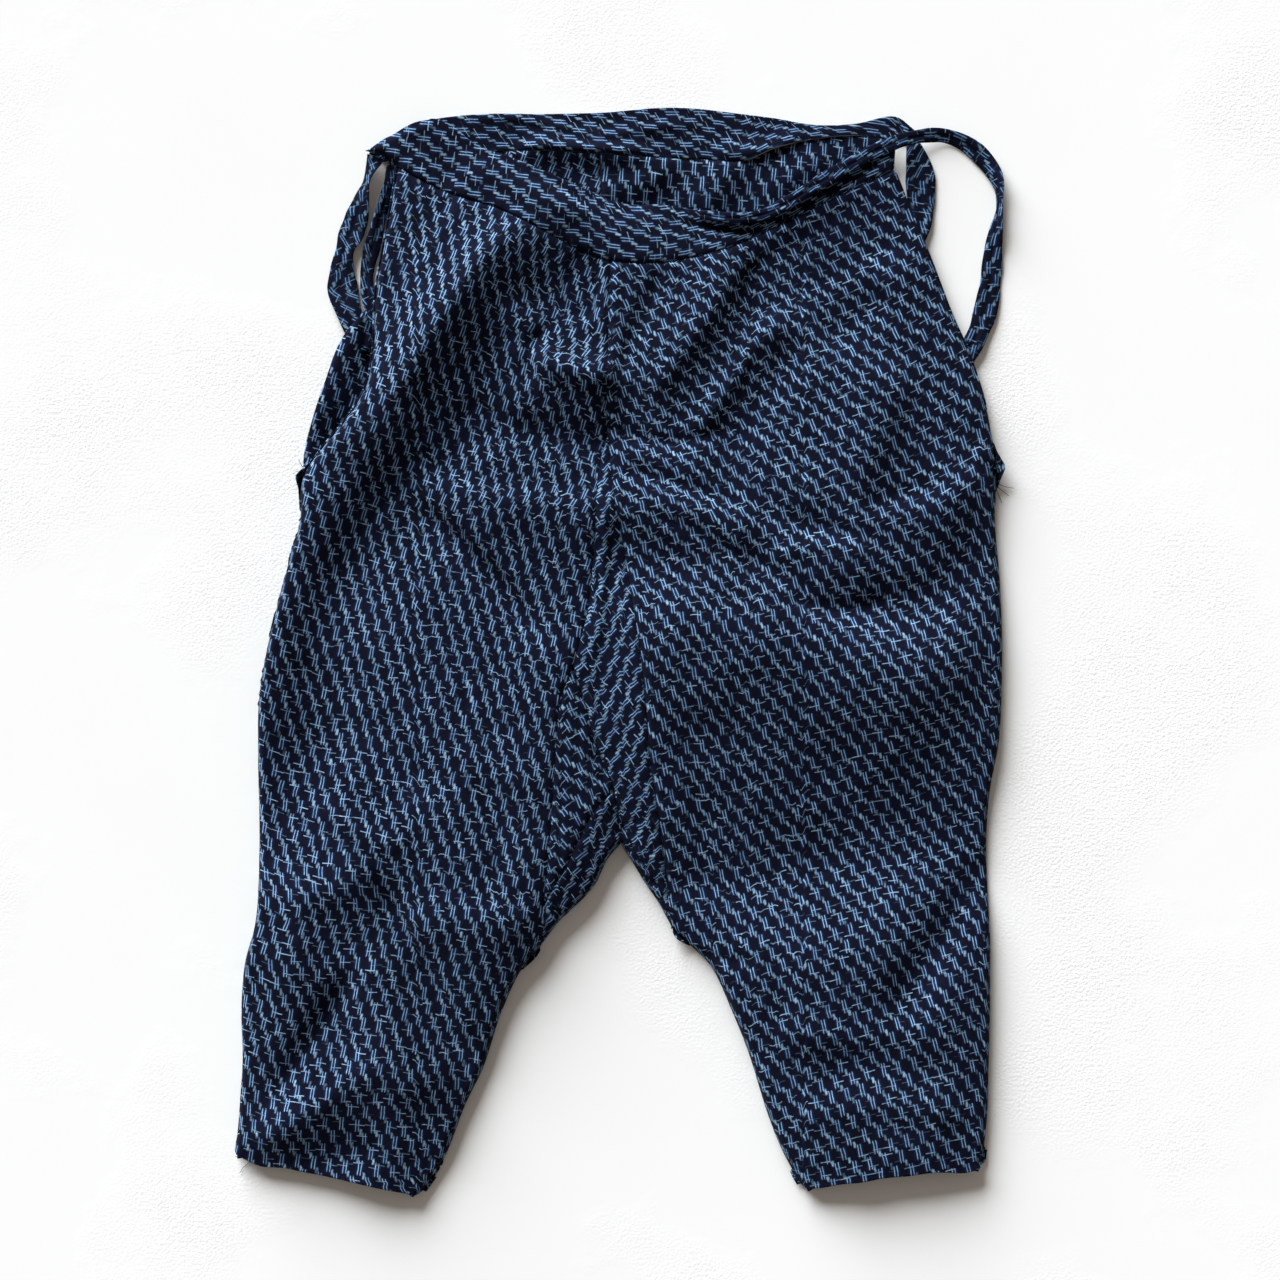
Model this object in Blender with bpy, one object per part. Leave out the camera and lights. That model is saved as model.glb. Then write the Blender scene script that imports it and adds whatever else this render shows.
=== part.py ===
"""Child's monpe trousers in kasuri cotton, laid flat with the front up.

The frame has +X to the wearer's left, +Y up to the waist and +Z up from the
surface that the trousers lie on. Tables are in millimetres.
"""

from collections import namedtuple

import bpy
import numpy as np

# Driving dimensions, in millimetres
MM = 0.001
CLOTH = 1.2
BAND_CLOTH = 1.6
TIE_CLOTH = 1.6
SEAM_GAP = 0.3
CORNER_GAP = 0.5
BACK_TOP = CLOTH
SEWN_EDGE = BACK_TOP + SEAM_GAP
SLIT_EDGE = 3.4
SLIT_END = 71.0
SLIT_FADE = 18.0
ROLL = 9.0
BAND_RISE = 0.4
TURN = 1.5
ROLL_ANGLES = (0.0, 30.0, 60.0, 90.0)
STRIP_SHARES = (0.0, 0.06, 0.24, 0.58, 1.0)
BAND_SHARES = (0.0, 0.3, 0.65, 0.9, 1.0)
BAND_STEP = 9.0
TIE_STEP = 6.0
LEAST_LIFT = 1.4
APEX_WIDTH = 1.4
# The middle of the garment's outline, which is the frame's origin
MIDDLE = (-0.68, 0.25, 0.0)
LEG_COLUMNS = 12
GUSSET_COLUMNS = 7
EDGE_SHIFT = 0.02
SLOPE_STEP = 0.005

# How far the front stands above its edges, by level down the garment
Loft = namedtuple("Loft", "level height")
LOFTS = (
    Loft(-230, 6.3),
    Loft(-200, 7.4),
    Loft(-150, 8.6),
    Loft(-80, 8.8),
    Loft(0, 7.8),
    Loft(70, 6.2),
    Loft(120, 5.2),
    Loft(160, 4.8),
    Loft(190, 3.8),
    Loft(225, 2.6),
)

# Rows of a leg, from waistband to hem: its outer edge, its seam or inseam
# edge, and how far the back's outer edge stands past the front's
Section = namedtuple("Section", "side_x side_y inner_x inner_y back_out")
RIGHT_LEG = (
    Section(-92, 201, -4, 161.5, -1),
    Section(-96, 177, -5, 145, -3),
    Section(-101, 149, -5, 127, -2),
    Section(-102, 127, -5.5, 108, 13),
    Section(-105, 110, -5.5, 91, 17),
    Section(-113.5, 96, -9, 75.5, 13.5),
    Section(-125, 82, -10, 63, 6),
    Section(-132, 71, -10.5, 50, -0.4),
    Section(-132.5, 54.5, -11.5, 36, -0.4),
    Section(-137, 38, -13.5, 17, -0.4),
    Section(-145.5, 4.5, -19.5, -5.5, -0.4),
    Section(-149.5, -19.5, -25, -22, -0.4),
    Section(-150, -44.5, -27, -48.5, -0.4),
    Section(-149.5, -73.5, -29, -77.5, -0.4),
    Section(-150, -100, -31, -98, -0.4),
    Section(-151.5, -114, -33, -121.5, -0.4),
    Section(-155.5, -129, -42, -133, -0.4),
    Section(-157, -148, -50, -151, -0.4),
    Section(-156.5, -168, -56.5, -171, -0.4),
    Section(-157.5, -184, -64.5, -188, -0.4),
    Section(-158.5, -197.5, -73, -209.5, -0.4),
    Section(-160, -206.5, -83, -224.5, -0.4),
)
LEFT_LEG = (
    Section(113, 199, -4, 161.5, -2),
    Section(122.5, 176, -5, 145, -5),
    Section(129.5, 158.5, -5, 127, -5),
    Section(136.5, 140, -5.5, 108, -5),
    Section(144, 123, -5.5, 91, -4),
    Section(150, 105, -3.5, 71, -4),
    Section(153, 91, -1.5, 58, -2),
    Section(155.5, 74, 0.5, 48, -0.4),
    Section(155, 54.5, 3.5, 29.5, -0.4),
    Section(157, 29.5, 7, 8, -0.4),
    Section(158, 1, 9.5, -11.5, -0.4),
    Section(157, -34, 12, -40.5, -0.4),
    Section(153, -57, 15, -63, -0.4),
    Section(151.5, -77.5, 18.5, -88, -0.4),
    Section(152, -98, 21.5, -114.5, -0.4),
    Section(153, -117, 29.5, -122, -0.4),
    Section(153, -133, 38, -131, -0.4),
    Section(153, -150, 45, -146, -0.4),
    Section(152.5, -168, 53, -166, -0.4),
    Section(152, -188, 60.5, -190, -0.4),
    Section(151, -200.5, 67, -206.5, -0.4),
    Section(149.5, -211, 75, -221, -0.4),
)
# The rows of the tables where the gusset begins, where the line between its
# two pieces begins, where each inseam begins, and where each rolled edge ends
GUSSET_TOP = 4
GUSSET_SPLIT = 10
RIGHT_INSEAM = 15
LEFT_INSEAM = 14
RIGHT_STRIP_ROW = 14.25
LEFT_STRIP_ROW = 13.7
LINE_STRIP_ROW = 4.2
LINE_LEFT_ROW = 5

# The line between the two gusset pieces, down to the crotch
Point = namedtuple("Point", "x y")
GUSSET_LINE = (
    Point(-19.5, -5.5),
    Point(-14, -22.5),
    Point(-11, -36.5),
    Point(-7, -46),
    Point(-3, -55),
    Point(-1, -67),
    Point(0, -79.5),
)
# The outline from each inseam to the crotch, and the seam inside it where the
# back gusset's rolled edge meets the front one
Crotch = namedtuple("Crotch", "edge_x edge_y seam_x seam_y")
RIGHT_CROTCH = (
    Crotch(-33, -121.5, -32, -103.5),
    Crotch(-25, -111, -27.5, -97),
    Crotch(-20.5, -107, -22.5, -88.5),
    Crotch(-11, -97, -18, -79),
    Crotch(-5.5, -86, -10.5, -65),
    Crotch(0, -79.5, -2.7, -57.5),
)
LEFT_CROTCH = (
    Crotch(0, -79.5, -1, -67),
    Crotch(5.5, -88, 5, -80.5),
    Crotch(10, -95.5, 10.5, -89),
    Crotch(15.5, -103.5, 15.5, -97),
    Crotch(21.5, -114.5, 20.3, -106.5),
)

# Waistbands, from the wearer's right to the left: top edge and lower seam
Band = namedtuple("Band", "top_x top_y seam_x seam_y")
FRONT_BAND = (
    Band(-105, 207, -97, 204.5),
    Band(-94.5, 213.5, -88, 198),
    Band(-80, 219.5, -75.5, 191.5),
    Band(-69.5, 216.5, -63.5, 187),
    Band(-59, 208.5, -53, 184),
    Band(-45, 203.5, -40.5, 178),
    Band(-31, 198, -28.5, 172),
    Band(-16.5, 191.5, -14.5, 165),
    Band(0, 185, -4, 161.5),
    Band(16.5, 184, 14, 160.5),
    Band(33, 181.5, 30.5, 163),
    Band(49.5, 180, 45, 167),
    Band(63.5, 183.5, 60, 173.5),
    Band(78, 193, 76.5, 181.5),
    Band(92.5, 202, 93, 190),
    Band(106, 210, 106, 196),
    Band(114, 213, 113, 199.5),
)
CENTRE_ROW = 8
RIGHT_CORNER_ROW = 0.55
BACK_BAND = (
    Band(-104, 206.5, -97.5, 203),
    Band(-92.5, 214, -90, 205),
    Band(-78.5, 220, -77.5, 207),
    Band(-56.5, 222.5, -57.5, 207.5),
    Band(-33, 222.5, -33, 207.5),
    Band(-8.5, 223, -8.5, 206),
    Band(16.5, 225, 19, 204.5),
    Band(33, 224.5, 33.5, 204),
    Band(49.5, 222.5, 50, 203),
    Band(65, 220.5, 63.5, 208.5),
    Band(80.5, 218, 78, 212),
    Band(97, 218.5, 95.5, 214),
    Band(113, 221.5, 111, 212.5),
    Band(121.5, 216, 118, 210.5),
)
BACK_CENTRE_ROW = 5
BACK_BODY_END_ROW = 11.9
BACK_BODY_START_ROW = 0.9

# Folds of the front: a path, its rise, and its width on the path's left and right
Fold = namedtuple("Fold", "rise left right path")
FOLDS = (
    # The long fold from the band's middle to the right side, and its valley
    Fold(4.2, 16, 9, ((-20, 178), (-54, 161), (-79, 135), (-97, 106), (-111, 79), (-121, 50), (-138, -20))),
    Fold(-3.2, 20, 12, ((-16, 164), (-47, 137), (-68, 100), (-93, 65), (-114, 26), (-125, -22))),
    # The bulge and the cross fold beside the centre seam
    Fold(2.6, 8, 11, ((-11, 156), (-19, 129), (-34, 104))),
    Fold(-2.2, 8, 8, ((-66, 90), (-36, 84), (-6, 90))),
    Fold(2.4, 8, 8, ((-80, 72), (-46, 64), (-10, 64))),
    Fold(-1.8, 8, 8, ((-82, 58), (-50, 38), (-28, 0))),
    # Pleats under the band
    Fold(-2.6, 5, 5, ((-14, 165), (-14, 136))),
    Fold(3.2, 6, 7, ((50, 168), (29, 141), (2, 102))),
    Fold(-2.2, 6, 6, ((54, 156), (33, 129), (12, 103))),
    Fold(2.4, 6, 6, ((62, 152), (47, 125), (29, 94))),
    Fold(-2.2, 7, 7, ((74, 140), (60, 116), (42, 88))),
    Fold(-2.2, 7, 7, ((70, 170), (92, 146), (112, 120))),
    # The cross ridge of the left leg and its side folds
    Fold(2.4, 9, 10, ((-4, 84), (33, 61), (58, 48), (98, 28))),
    Fold(1.8, 7, 7, ((100, 46), (124, 58), (152, 74))),
    Fold(-1.8, 11, 9, ((106, 2), (130, 22), (150, 42))),
    Fold(2.2, 20, 16, ((10, 4), (58, 6), (104, 8))),
    Fold(-3.6, 24, 8, ((22, -100), (86, -94), (148, -78))),
    Fold(1.6, 14, 14, ((34, -134), (76, -126), (120, -112))),
    Fold(-2.0, 7, 7, ((148, -90), (132, -119), (112, -152))),
    Fold(-1.3, 9, 9, ((64, -174), (92, -166), (118, -160))),
    # Folds of the right leg
    Fold(1.6, 30, 30, ((-84, 44), (-72, -20), (-62, -90))),
    Fold(-1.3, 9, 9, ((-104, -12), (-82, -54))),
    Fold(2.0, 9, 7, ((-90, -112), (-62, -112), (-34, -116))),
    Fold(-1.8, 8, 8, ((-94, -100), (-79, -127), (-60, -168))),
    Fold(2.0, 7, 9, ((-102, -124), (-86, -184))),
    Fold(-2.4, 9, 16, ((-120, -90), (-111, -134), (-122, -172))),
    Fold(-2.6, 9, 9, ((-146, -206), (-124, -203), (-102, -196))),
    Fold(1.8, 7, 7, ((-100, -172), (-124, -186), (-150, -200))),
)

# Ties: points of the middle line, width, height of the middle where it is off
# the band (0 where it lies on the band), and sideways tilt
Tie = namedtuple("Tie", "x y width height tilt")
TIE_FRONT_RIGHT = (
    Tie(-101.3, 204.8, 8.0, 2.5, 0),
    Tie(-103.4, 199.0, 6.0, 1.7, 40),
    Tie(-105.2, 193.9, 6.0, 1.9, 55),
    Tie(-107.3, 186.5, 8.6, 1.6, 25),
    Tie(-108.9, 180.7, 10.8, 1.2, 8),
    Tie(-110.8, 174.9, 10.4, 1.0, 4),
    Tie(-113.9, 167.0, 8.6, 1.2, 14),
    Tie(-115.3, 158.4, 10.8, 1.0, 4),
    Tie(-114.9, 149.7, 11.8, 1.1, 0),
    Tie(-113.0, 142.7, 10.8, 2.2, 0),
    Tie(-110.8, 136.1, 9.8, 2.35, 0),
    Tie(-107.8, 130.0, 8.8, 2.35, 0),
    Tie(-105.0, 124.8, 8.0, 2.35, 0),
)
TIE_BACK_RIGHT = (
    Tie(-94.7, 202.4, 4.6, 0.9, 0),
    Tie(-95.3, 194.7, 5.2, 1.3, -25),
    Tie(-97.0, 188.5, 5.6, 1.4, -25),
    Tie(-99.3, 181.1, 6.0, 1.4, -25),
    Tie(-101.4, 172.8, 6.4, 1.4, -20),
    Tie(-103.7, 164.2, 6.8, 1.2, -12),
    Tie(-105.0, 157.6, 6.0, 1.1, -8),
    Tie(-105.0, 150.6, 5.4, 1.8, 0),
    Tie(-104.0, 144.6, 5.2, 2.3, 0),
    Tie(-101.6, 137.8, 5.0, 2.35, 0),
    Tie(-99.0, 132.0, 5.0, 2.35, 0),
)
TIE_FRONT_LEFT = (
    Tie(32.8, 180.3, 4.0, 0, 0),
    Tie(47.2, 178.6, 4.6, 0, 0),
    Tie(58.8, 180.3, 5.0, 0, 0),
    Tie(69.1, 185.2, 5.4, 0, 0),
    Tie(81.5, 193.0, 6.0, 0, 0),
    Tie(94.7, 200.9, 6.0, 0, 0),
    Tie(107.0, 207.5, 6.0, 0, 0),
    Tie(117.4, 211.6, 6.0, 5.4, 0),
    Tie(127.7, 213.7, 5.8, 3.2, 12),
    Tie(135.9, 213.3, 5.8, 1.9, 20),
    Tie(145.0, 209.1, 7.0, 1.4, 10),
    Tie(152.4, 201.7, 7.0, 1.3, 10),
    Tie(156.3, 193.9, 5.6, 1.9, 40),
    Tie(157.0, 184.4, 4.6, 2.2, 60),
    Tie(155.7, 176.1, 6.0, 1.8, 35),
    Tie(154.5, 167.9, 7.4, 1.2, 10),
    Tie(153.7, 157.6, 8.6, 1.0, 0),
    Tie(152.4, 147.3, 9.0, 1.0, 0),
    Tie(150.2, 137.8, 9.2, 1.4, 0),
    Tie(146.6, 129.0, 9.0, 2.3, 0),
    Tie(142.6, 122.1, 8.6, 2.35, 0),
    Tie(139.2, 117.2, 8.0, 2.35, 0),
)
TIE_BACK_LEFT = (
    Tie(121.1, 210.8, 6.0, 0.9, 0),
    Tie(122.3, 206.3, 8.4, 0.9, 0),
    Tie(124.0, 198.8, 11.4, 1.0, 0),
    Tie(124.4, 191.8, 13.0, 1.0, 0),
    Tie(124.6, 185.2, 11.8, 1.0, 0),
    Tie(124.8, 178.2, 8.0, 1.5, 0),
    Tie(123.9, 171.5, 5.6, 2.3, 0),
    Tie(121.6, 165.5, 5.0, 2.35, 0),
)
TIE_SECTION = (
    (1.0, 0.0),
    (0.8, 0.8),
    (0.0, 1.0),
    (-0.8, 0.8),
    (-1.0, 0.0),
    (-0.8, -0.8),
    (0.0, -1.0),
    (0.8, -0.8),
)

INDIGO = (0.012, 0.016, 0.040, 1.0)
BAND_INDIGO = (0.016, 0.022, 0.050, 1.0)
TIE_INDIGO = (0.010, 0.013, 0.034, 1.0)


def through(points, stations):
    """Points of a smooth curve that passes the given rows at 0, 1, 2 and so on."""
    rows = np.array(points, float)
    padded = np.vstack([2 * rows[0] - rows[1], rows, 2 * rows[-1] - rows[-2]])
    stations = np.clip(np.asarray(stations, float), 0, len(rows) - 1)
    first = np.minimum(stations.astype(int), len(rows) - 2)
    t = (stations - first)[:, None]
    before, start, end, after = (padded[first + offset] for offset in range(4))
    return 0.5 * (
        2 * start
        + (end - before) * t
        + (2 * before - 5 * start + 4 * end - after) * t**2
        + (3 * start - before - 3 * end + after) * t**3
    )


def seam_edge(points, stations):
    """The same for a leg's inner edge, with a corner where the gusset begins."""
    stations = np.asarray(stations, float)
    above = through(points[: GUSSET_TOP + 1], stations)
    below = through(points[GUSSET_TOP:], stations - GUSSET_TOP)
    return np.where((stations <= GUSSET_TOP)[:, None], above, below)


def dense(points, per_row=6):
    """A smooth line through a table's points."""
    return through(points, np.linspace(0, len(points) - 1, (len(points) - 1) * per_row + 1))


def lengths(line):
    """Distance along a line of points, from its first."""
    steps = np.linalg.norm(np.diff(line, axis=0), axis=1)
    return np.concatenate([[0.0], np.cumsum(steps)])


def at_shares(line, shares):
    """Points at the given shares of a line's length."""
    along = lengths(line)
    wanted = np.asarray(shares) * along[-1]
    return np.stack([np.interp(wanted, along, line[:, i]) for i in range(line.shape[1])], axis=1)


def half_rows(first, last):
    """Stations at each row of a table and halfway between its rows."""
    return np.linspace(first, last, 2 * (last - first) + 1)


def even_stations(points, step):
    """Stations of a smooth curve whose points lie about one step apart."""
    fine = np.linspace(0, len(points) - 1, 400)
    along = lengths(through(points, fine))
    count = max(2, int(round(along[-1] / step)) + 1)
    return np.interp(np.linspace(0, along[-1], count), along, fine)


def columns(rows, first, second):
    """Two named columns of a table as an array of points."""
    return np.array([(getattr(row, first), getattr(row, second)) for row in rows], float)


def smooth_step(value):
    value = np.clip(value, 0, 1)
    return value * value * (3 - 2 * value)


def nearest(x, y, line):
    """Distance to a line, place along it from 0 to 1, and side: +1 on its left."""
    start, run = line[:-1], np.diff(line, axis=0)
    length = np.linalg.norm(run, axis=1)
    offset_x = x[:, None] - start[:, 0]
    offset_y = y[:, None] - start[:, 1]
    along = np.clip((offset_x * run[:, 0] + offset_y * run[:, 1]) / length**2, 0, 1)
    distance = np.hypot(offset_x - along * run[:, 0], offset_y - along * run[:, 1])
    best = distance.argmin(axis=1)
    pick = np.arange(len(x)), best
    before = np.concatenate([[0.0], np.cumsum(length)[:-1]])
    place = (before[best] + along[pick] * length[best]) / length.sum()
    side = np.sign(run[best, 0] * offset_y[pick] - run[best, 1] * offset_x[pick])
    return distance[pick], place, side


RIGHT_SIDE = columns(RIGHT_LEG, "side_x", "side_y")
LEFT_SIDE = columns(LEFT_LEG, "side_x", "side_y")
RIGHT_INNER = columns(RIGHT_LEG, "inner_x", "inner_y")
LEFT_INNER = columns(LEFT_LEG, "inner_x", "inner_y")
LINE = np.array(GUSSET_LINE, float)
RIGHT_OUTLINE = dense(columns(RIGHT_CROTCH, "edge_x", "edge_y"))
LEFT_OUTLINE = dense(columns(LEFT_CROTCH, "edge_x", "edge_y"))
FRONT_TOP = columns(FRONT_BAND, "top_x", "top_y")
FRONT_SEAM = columns(FRONT_BAND, "seam_x", "seam_y")
BACK_TOP_EDGE = columns(BACK_BAND, "top_x", "top_y")
BACK_SEAM = columns(BACK_BAND, "seam_x", "seam_y")

# The edges along which the front rolls down to the back
EDGES = (
    np.vstack([dense(RIGHT_SIDE)[::-1], FRONT_SEAM[:1], FRONT_TOP[:3]]),
    np.vstack([dense(LEFT_SIDE)[::-1], FRONT_TOP[-1:]]),
    np.vstack([dense(RIGHT_INNER[RIGHT_INSEAM:])[::-1], RIGHT_OUTLINE[1:]]),
    np.vstack([LEFT_OUTLINE, dense(LEFT_INNER[LEFT_INSEAM:])[1:]]),
)
FOLD_LINES = [dense(fold.path) for fold in FOLDS]


def fold_rise(x, y):
    """How far the folds lift or lower the front."""
    rise = np.zeros_like(x)
    for fold, line in zip(FOLDS, FOLD_LINES):
        distance, place, side = nearest(x, y, line)
        width = np.where(side > 0, fold.left, fold.right)
        fade = smooth_step(3 * place) * smooth_step(3 * (1 - place))
        rise += fold.rise * fade * np.exp(-((distance / width) ** 2))
    return rise


def edge_distance(x, y):
    """Distance from the nearest edge that the front rolls down to."""
    return np.min([nearest(x, y, line)[0] for line in EDGES], axis=0)


def front_height(x, y):
    """Height of the front's outer face, all over the garment."""
    shape = x.shape
    x, y = x.ravel(), y.ravel()
    roll = np.sqrt(1 - (1 - np.clip(edge_distance(x, y) / ROLL, 0, 1)) ** 2)
    loft = np.interp(y, [row.level for row in LOFTS], [row.height for row in LOFTS])
    open_side = smooth_step((y - SLIT_END) / SLIT_FADE)
    low = SEWN_EDGE + (SLIT_EDGE - SEWN_EDGE) * open_side
    lift = np.maximum(loft + fold_rise(x, y), LEAST_LIFT)
    return (low + lift * roll).reshape(shape)


def inward(x, y, thickness):
    """Steps from the front's outer face to its inner one.

    They are upright inside the garment, so that walls beside a seam keep their
    gap, and square to the cloth where it rolls down at an edge.
    """
    slope_x = (front_height(x + SLOPE_STEP, y) - front_height(x - SLOPE_STEP, y)) / (2 * SLOPE_STEP)
    slope_y = (front_height(x, y + SLOPE_STEP) - front_height(x, y - SLOPE_STEP)) / (2 * SLOPE_STEP)
    normal = np.stack([slope_x, slope_y, -np.ones_like(slope_x)], axis=-1)
    steep = np.linalg.norm(normal, axis=-1, keepdims=True)
    upright = np.stack([np.zeros_like(x), np.zeros_like(x), -np.minimum(steep[..., 0], 1.6)], axis=-1)
    near_edge = 1 - smooth_step(edge_distance(x.ravel(), y.ravel()).reshape(x.shape) / ROLL)[..., None]
    return thickness * (near_edge * normal / steep + (1 - near_edge) * upright)


def patch(first, second, shares, top=None, bottom=None):
    """Points between two edges, with curved ends: rows down, columns across."""
    grid = first[:, None] + shares[..., None] * (second - first)[:, None]
    down = np.linspace(0, 1, len(first))[:, None, None]
    if top is not None:
        grid += (1 - down) ** 3 * (top - grid[0])[None]
    if bottom is not None:
        grid += down**3 * (bottom - grid[-1])[None]
    return grid


def inset(border, inside, amount):
    """Moves a border row of a plan towards the row inside it."""
    run = np.gradient(border, axis=0)
    run /= np.linalg.norm(run, axis=1, keepdims=True)
    across = np.stack([-run[:, 1], run[:, 0]], axis=1)
    across *= np.sign((across * (inside - border)).sum(axis=1))[:, None]
    return border + np.reshape(amount, (-1, 1)) * across


def rolled_shares(width, interior):
    """Shares across a panel, close together near its two edges."""
    near = ROLL * (1 - np.cos(np.radians(ROLL_ANGLES)))
    first = near[None] / width[:, None]
    last = 1 - first[:, ::-1]
    middle = np.linspace(0, 1, interior + 2)[1:-1][None]
    middle = first[:, -1:] + (last[:, :1] - first[:, -1:]) * middle
    return np.hstack([first, middle, last])


def material(name, colour):
    made = bpy.data.materials.new(f"{name}_cotton")
    made.use_nodes = True
    shader = made.node_tree.nodes["Principled BSDF"]
    shader.inputs["Base Color"].default_value = colour
    shader.inputs["Roughness"].default_value = 0.9
    return made


def new_object(name, points, faces, colour):
    mesh = bpy.data.meshes.new(name)
    placed = (np.asarray(points) - MIDDLE) * MM
    mesh.from_pydata([tuple(point) for point in placed], [], faces)
    mesh.shade_smooth()
    mesh.materials.append(material(name, colour))
    made = bpy.data.objects.new(name, mesh)
    bpy.context.scene.collection.objects.link(made)


def wall(name, outer, inner, colour):
    """A closed cloth wall between two grids of points, outer facing out."""
    rows, across = outer.shape[:2]
    count = rows * across
    index = np.arange(count).reshape(rows, across)
    faces = []
    for row in range(rows - 1):
        for column in range(across - 1):
            a, b = index[row, column], index[row, column + 1]
            c, d = index[row + 1, column + 1], index[row + 1, column]
            faces.append((a, b, c, d))
            faces.append((d + count, c + count, b + count, a + count))
    rim = [*index[0], *index[1:, -1], *index[-1, -2::-1], *index[-2:0:-1, 0]]
    for here, there in zip(rim, rim[1:] + rim[:1]):
        faces.append((there, here, here + count, there + count))
    row, column = rows // 2, across // 2
    along = outer[row + 1, column] - outer[row, column]
    sideways = outer[row, column + 1] - outer[row, column]
    if np.dot(np.cross(sideways, along), outer[row, column] - inner[row, column]) < 0:
        faces = [face[::-1] for face in faces]
    faces = [tuple(int(corner) for corner in face) for face in faces]
    new_object(name, np.vstack([outer.reshape(-1, 3), inner.reshape(-1, 3)]), faces, colour)


def front_wall(name, grid, colour, thickness=CLOTH, rise=0.0):
    """A front piece: its plan lifted to the garment's form and given a wall."""
    sample = grid.copy()
    sample[:, 0] += EDGE_SHIFT * (grid[:, 1] - grid[:, 0])
    sample[:, -1] += EDGE_SHIFT * (grid[:, -2] - grid[:, -1])
    outer = np.dstack([grid, front_height(grid[..., 0], grid[..., 1]) + rise])
    inner = outer + inward(sample[..., 0], sample[..., 1], thickness)
    inner[..., 2] = np.maximum(inner[..., 2], SEWN_EDGE)
    wall(name, outer, inner, colour)


def flat_wall(name, grid, colour, thickness=CLOTH):
    """A back piece that lies on the surface below."""
    floor = np.zeros(grid.shape[:2])
    wall(name, np.dstack([grid, floor]), np.dstack([grid, floor + thickness]), colour)


def front_leg(name, side, inner, inseam, top, colour):
    """A front leg from its waist seam to its hem, rolled down at its edges."""
    stations = half_rows(0, len(side) - 1)
    first, second = through(side, stations), seam_edge(inner, stations)
    shares = rolled_shares(np.linalg.norm(second - first, axis=1), LEG_COLUMNS)
    grid = patch(first, second, shares, top=at_shares(top, shares[0]))
    sewn = np.where(stations <= inseam, SEAM_GAP / 2, 0)
    grid[:, -1] = inset(grid[:, -1], grid[:, -2], sewn)
    gaps = np.full(len(grid[0]), SEAM_GAP / 2)
    gaps[:3] = CORNER_GAP
    grid[0] = inset(grid[0], grid[1], gaps)
    front_wall(name, grid, colour)


def back_leg(name, table, side, inner, inseam, seam_rows, colour):
    """A back leg, flat, from its waist seam to its hem."""
    out = np.array([row.back_out for row in table])
    side = side + np.stack([np.sign(side[:, 0]) * out, np.zeros(len(out))], axis=1)
    inner = inner.copy()
    inner[: GUSSET_TOP + 1] = np.linspace(BACK_SEAM[BACK_CENTRE_ROW], inner[GUSSET_TOP], GUSSET_TOP + 1)
    top = through(BACK_SEAM, seam_rows)
    stations = np.union1d(np.arange(len(side)), half_rows(GUSSET_SPLIT, RIGHT_INSEAM))
    first, second = through(side, stations), seam_edge(inner, stations)
    shares = np.tile(lengths(top) / lengths(top)[-1], (len(first), 1))
    grid = patch(first, second, shares, top=top)
    grid[:, -1] = inset(grid[:, -1], grid[:, -2], np.where(stations < inseam, SEAM_GAP / 2, -out[-1]))
    grid[0] = inset(grid[0], grid[1], SEAM_GAP / 2)
    flat_wall(name, grid, colour)


def after_apex(first, second):
    """Two edges that meet at a point, from where they are apart."""
    spread = np.linalg.norm(second - first, axis=1)
    start = int(np.argmax(spread >= APEX_WIDTH))
    share = (APEX_WIDTH - spread[start - 1]) / (spread[start] - spread[start - 1])
    if share > 0.7:
        return first[start:], second[start:]
    ends = [edge[start - 1] + share * (edge[start] - edge[start - 1]) for edge in (first, second)]
    return np.vstack([ends[:1], first[start:]]), np.vstack([ends[1:], second[start:]])


def gusset_plan(first, second, bottom):
    """Plan of a gusset piece between two seams, above its lower edge."""
    first, second = after_apex(first, second)
    shares = np.tile(np.linspace(0, 1, GUSSET_COLUMNS), (len(first), 1))
    grid = patch(first, second, shares, bottom=at_shares(bottom, shares[0]))
    gaps = np.full(len(first), SEAM_GAP / 2)
    gaps[-1] = CORNER_GAP
    grid[:, 0] = inset(grid[:, 0], grid[:, 1], gaps)
    grid[:, -1] = inset(grid[:, -1], grid[:, -2], gaps)
    return grid


def front_gusset(name, first, second, seam, colour):
    grid = gusset_plan(first, second, seam)
    grid[0] = inset(grid[0], grid[1], SEAM_GAP / 2)
    grid[-1] = inset(grid[-1], grid[-2], SEAM_GAP / 2)
    front_wall(name, grid, colour)


def raised(row, height):
    """A row of plan points at one height."""
    return np.column_stack([row, np.full(len(row), height)])


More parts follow.
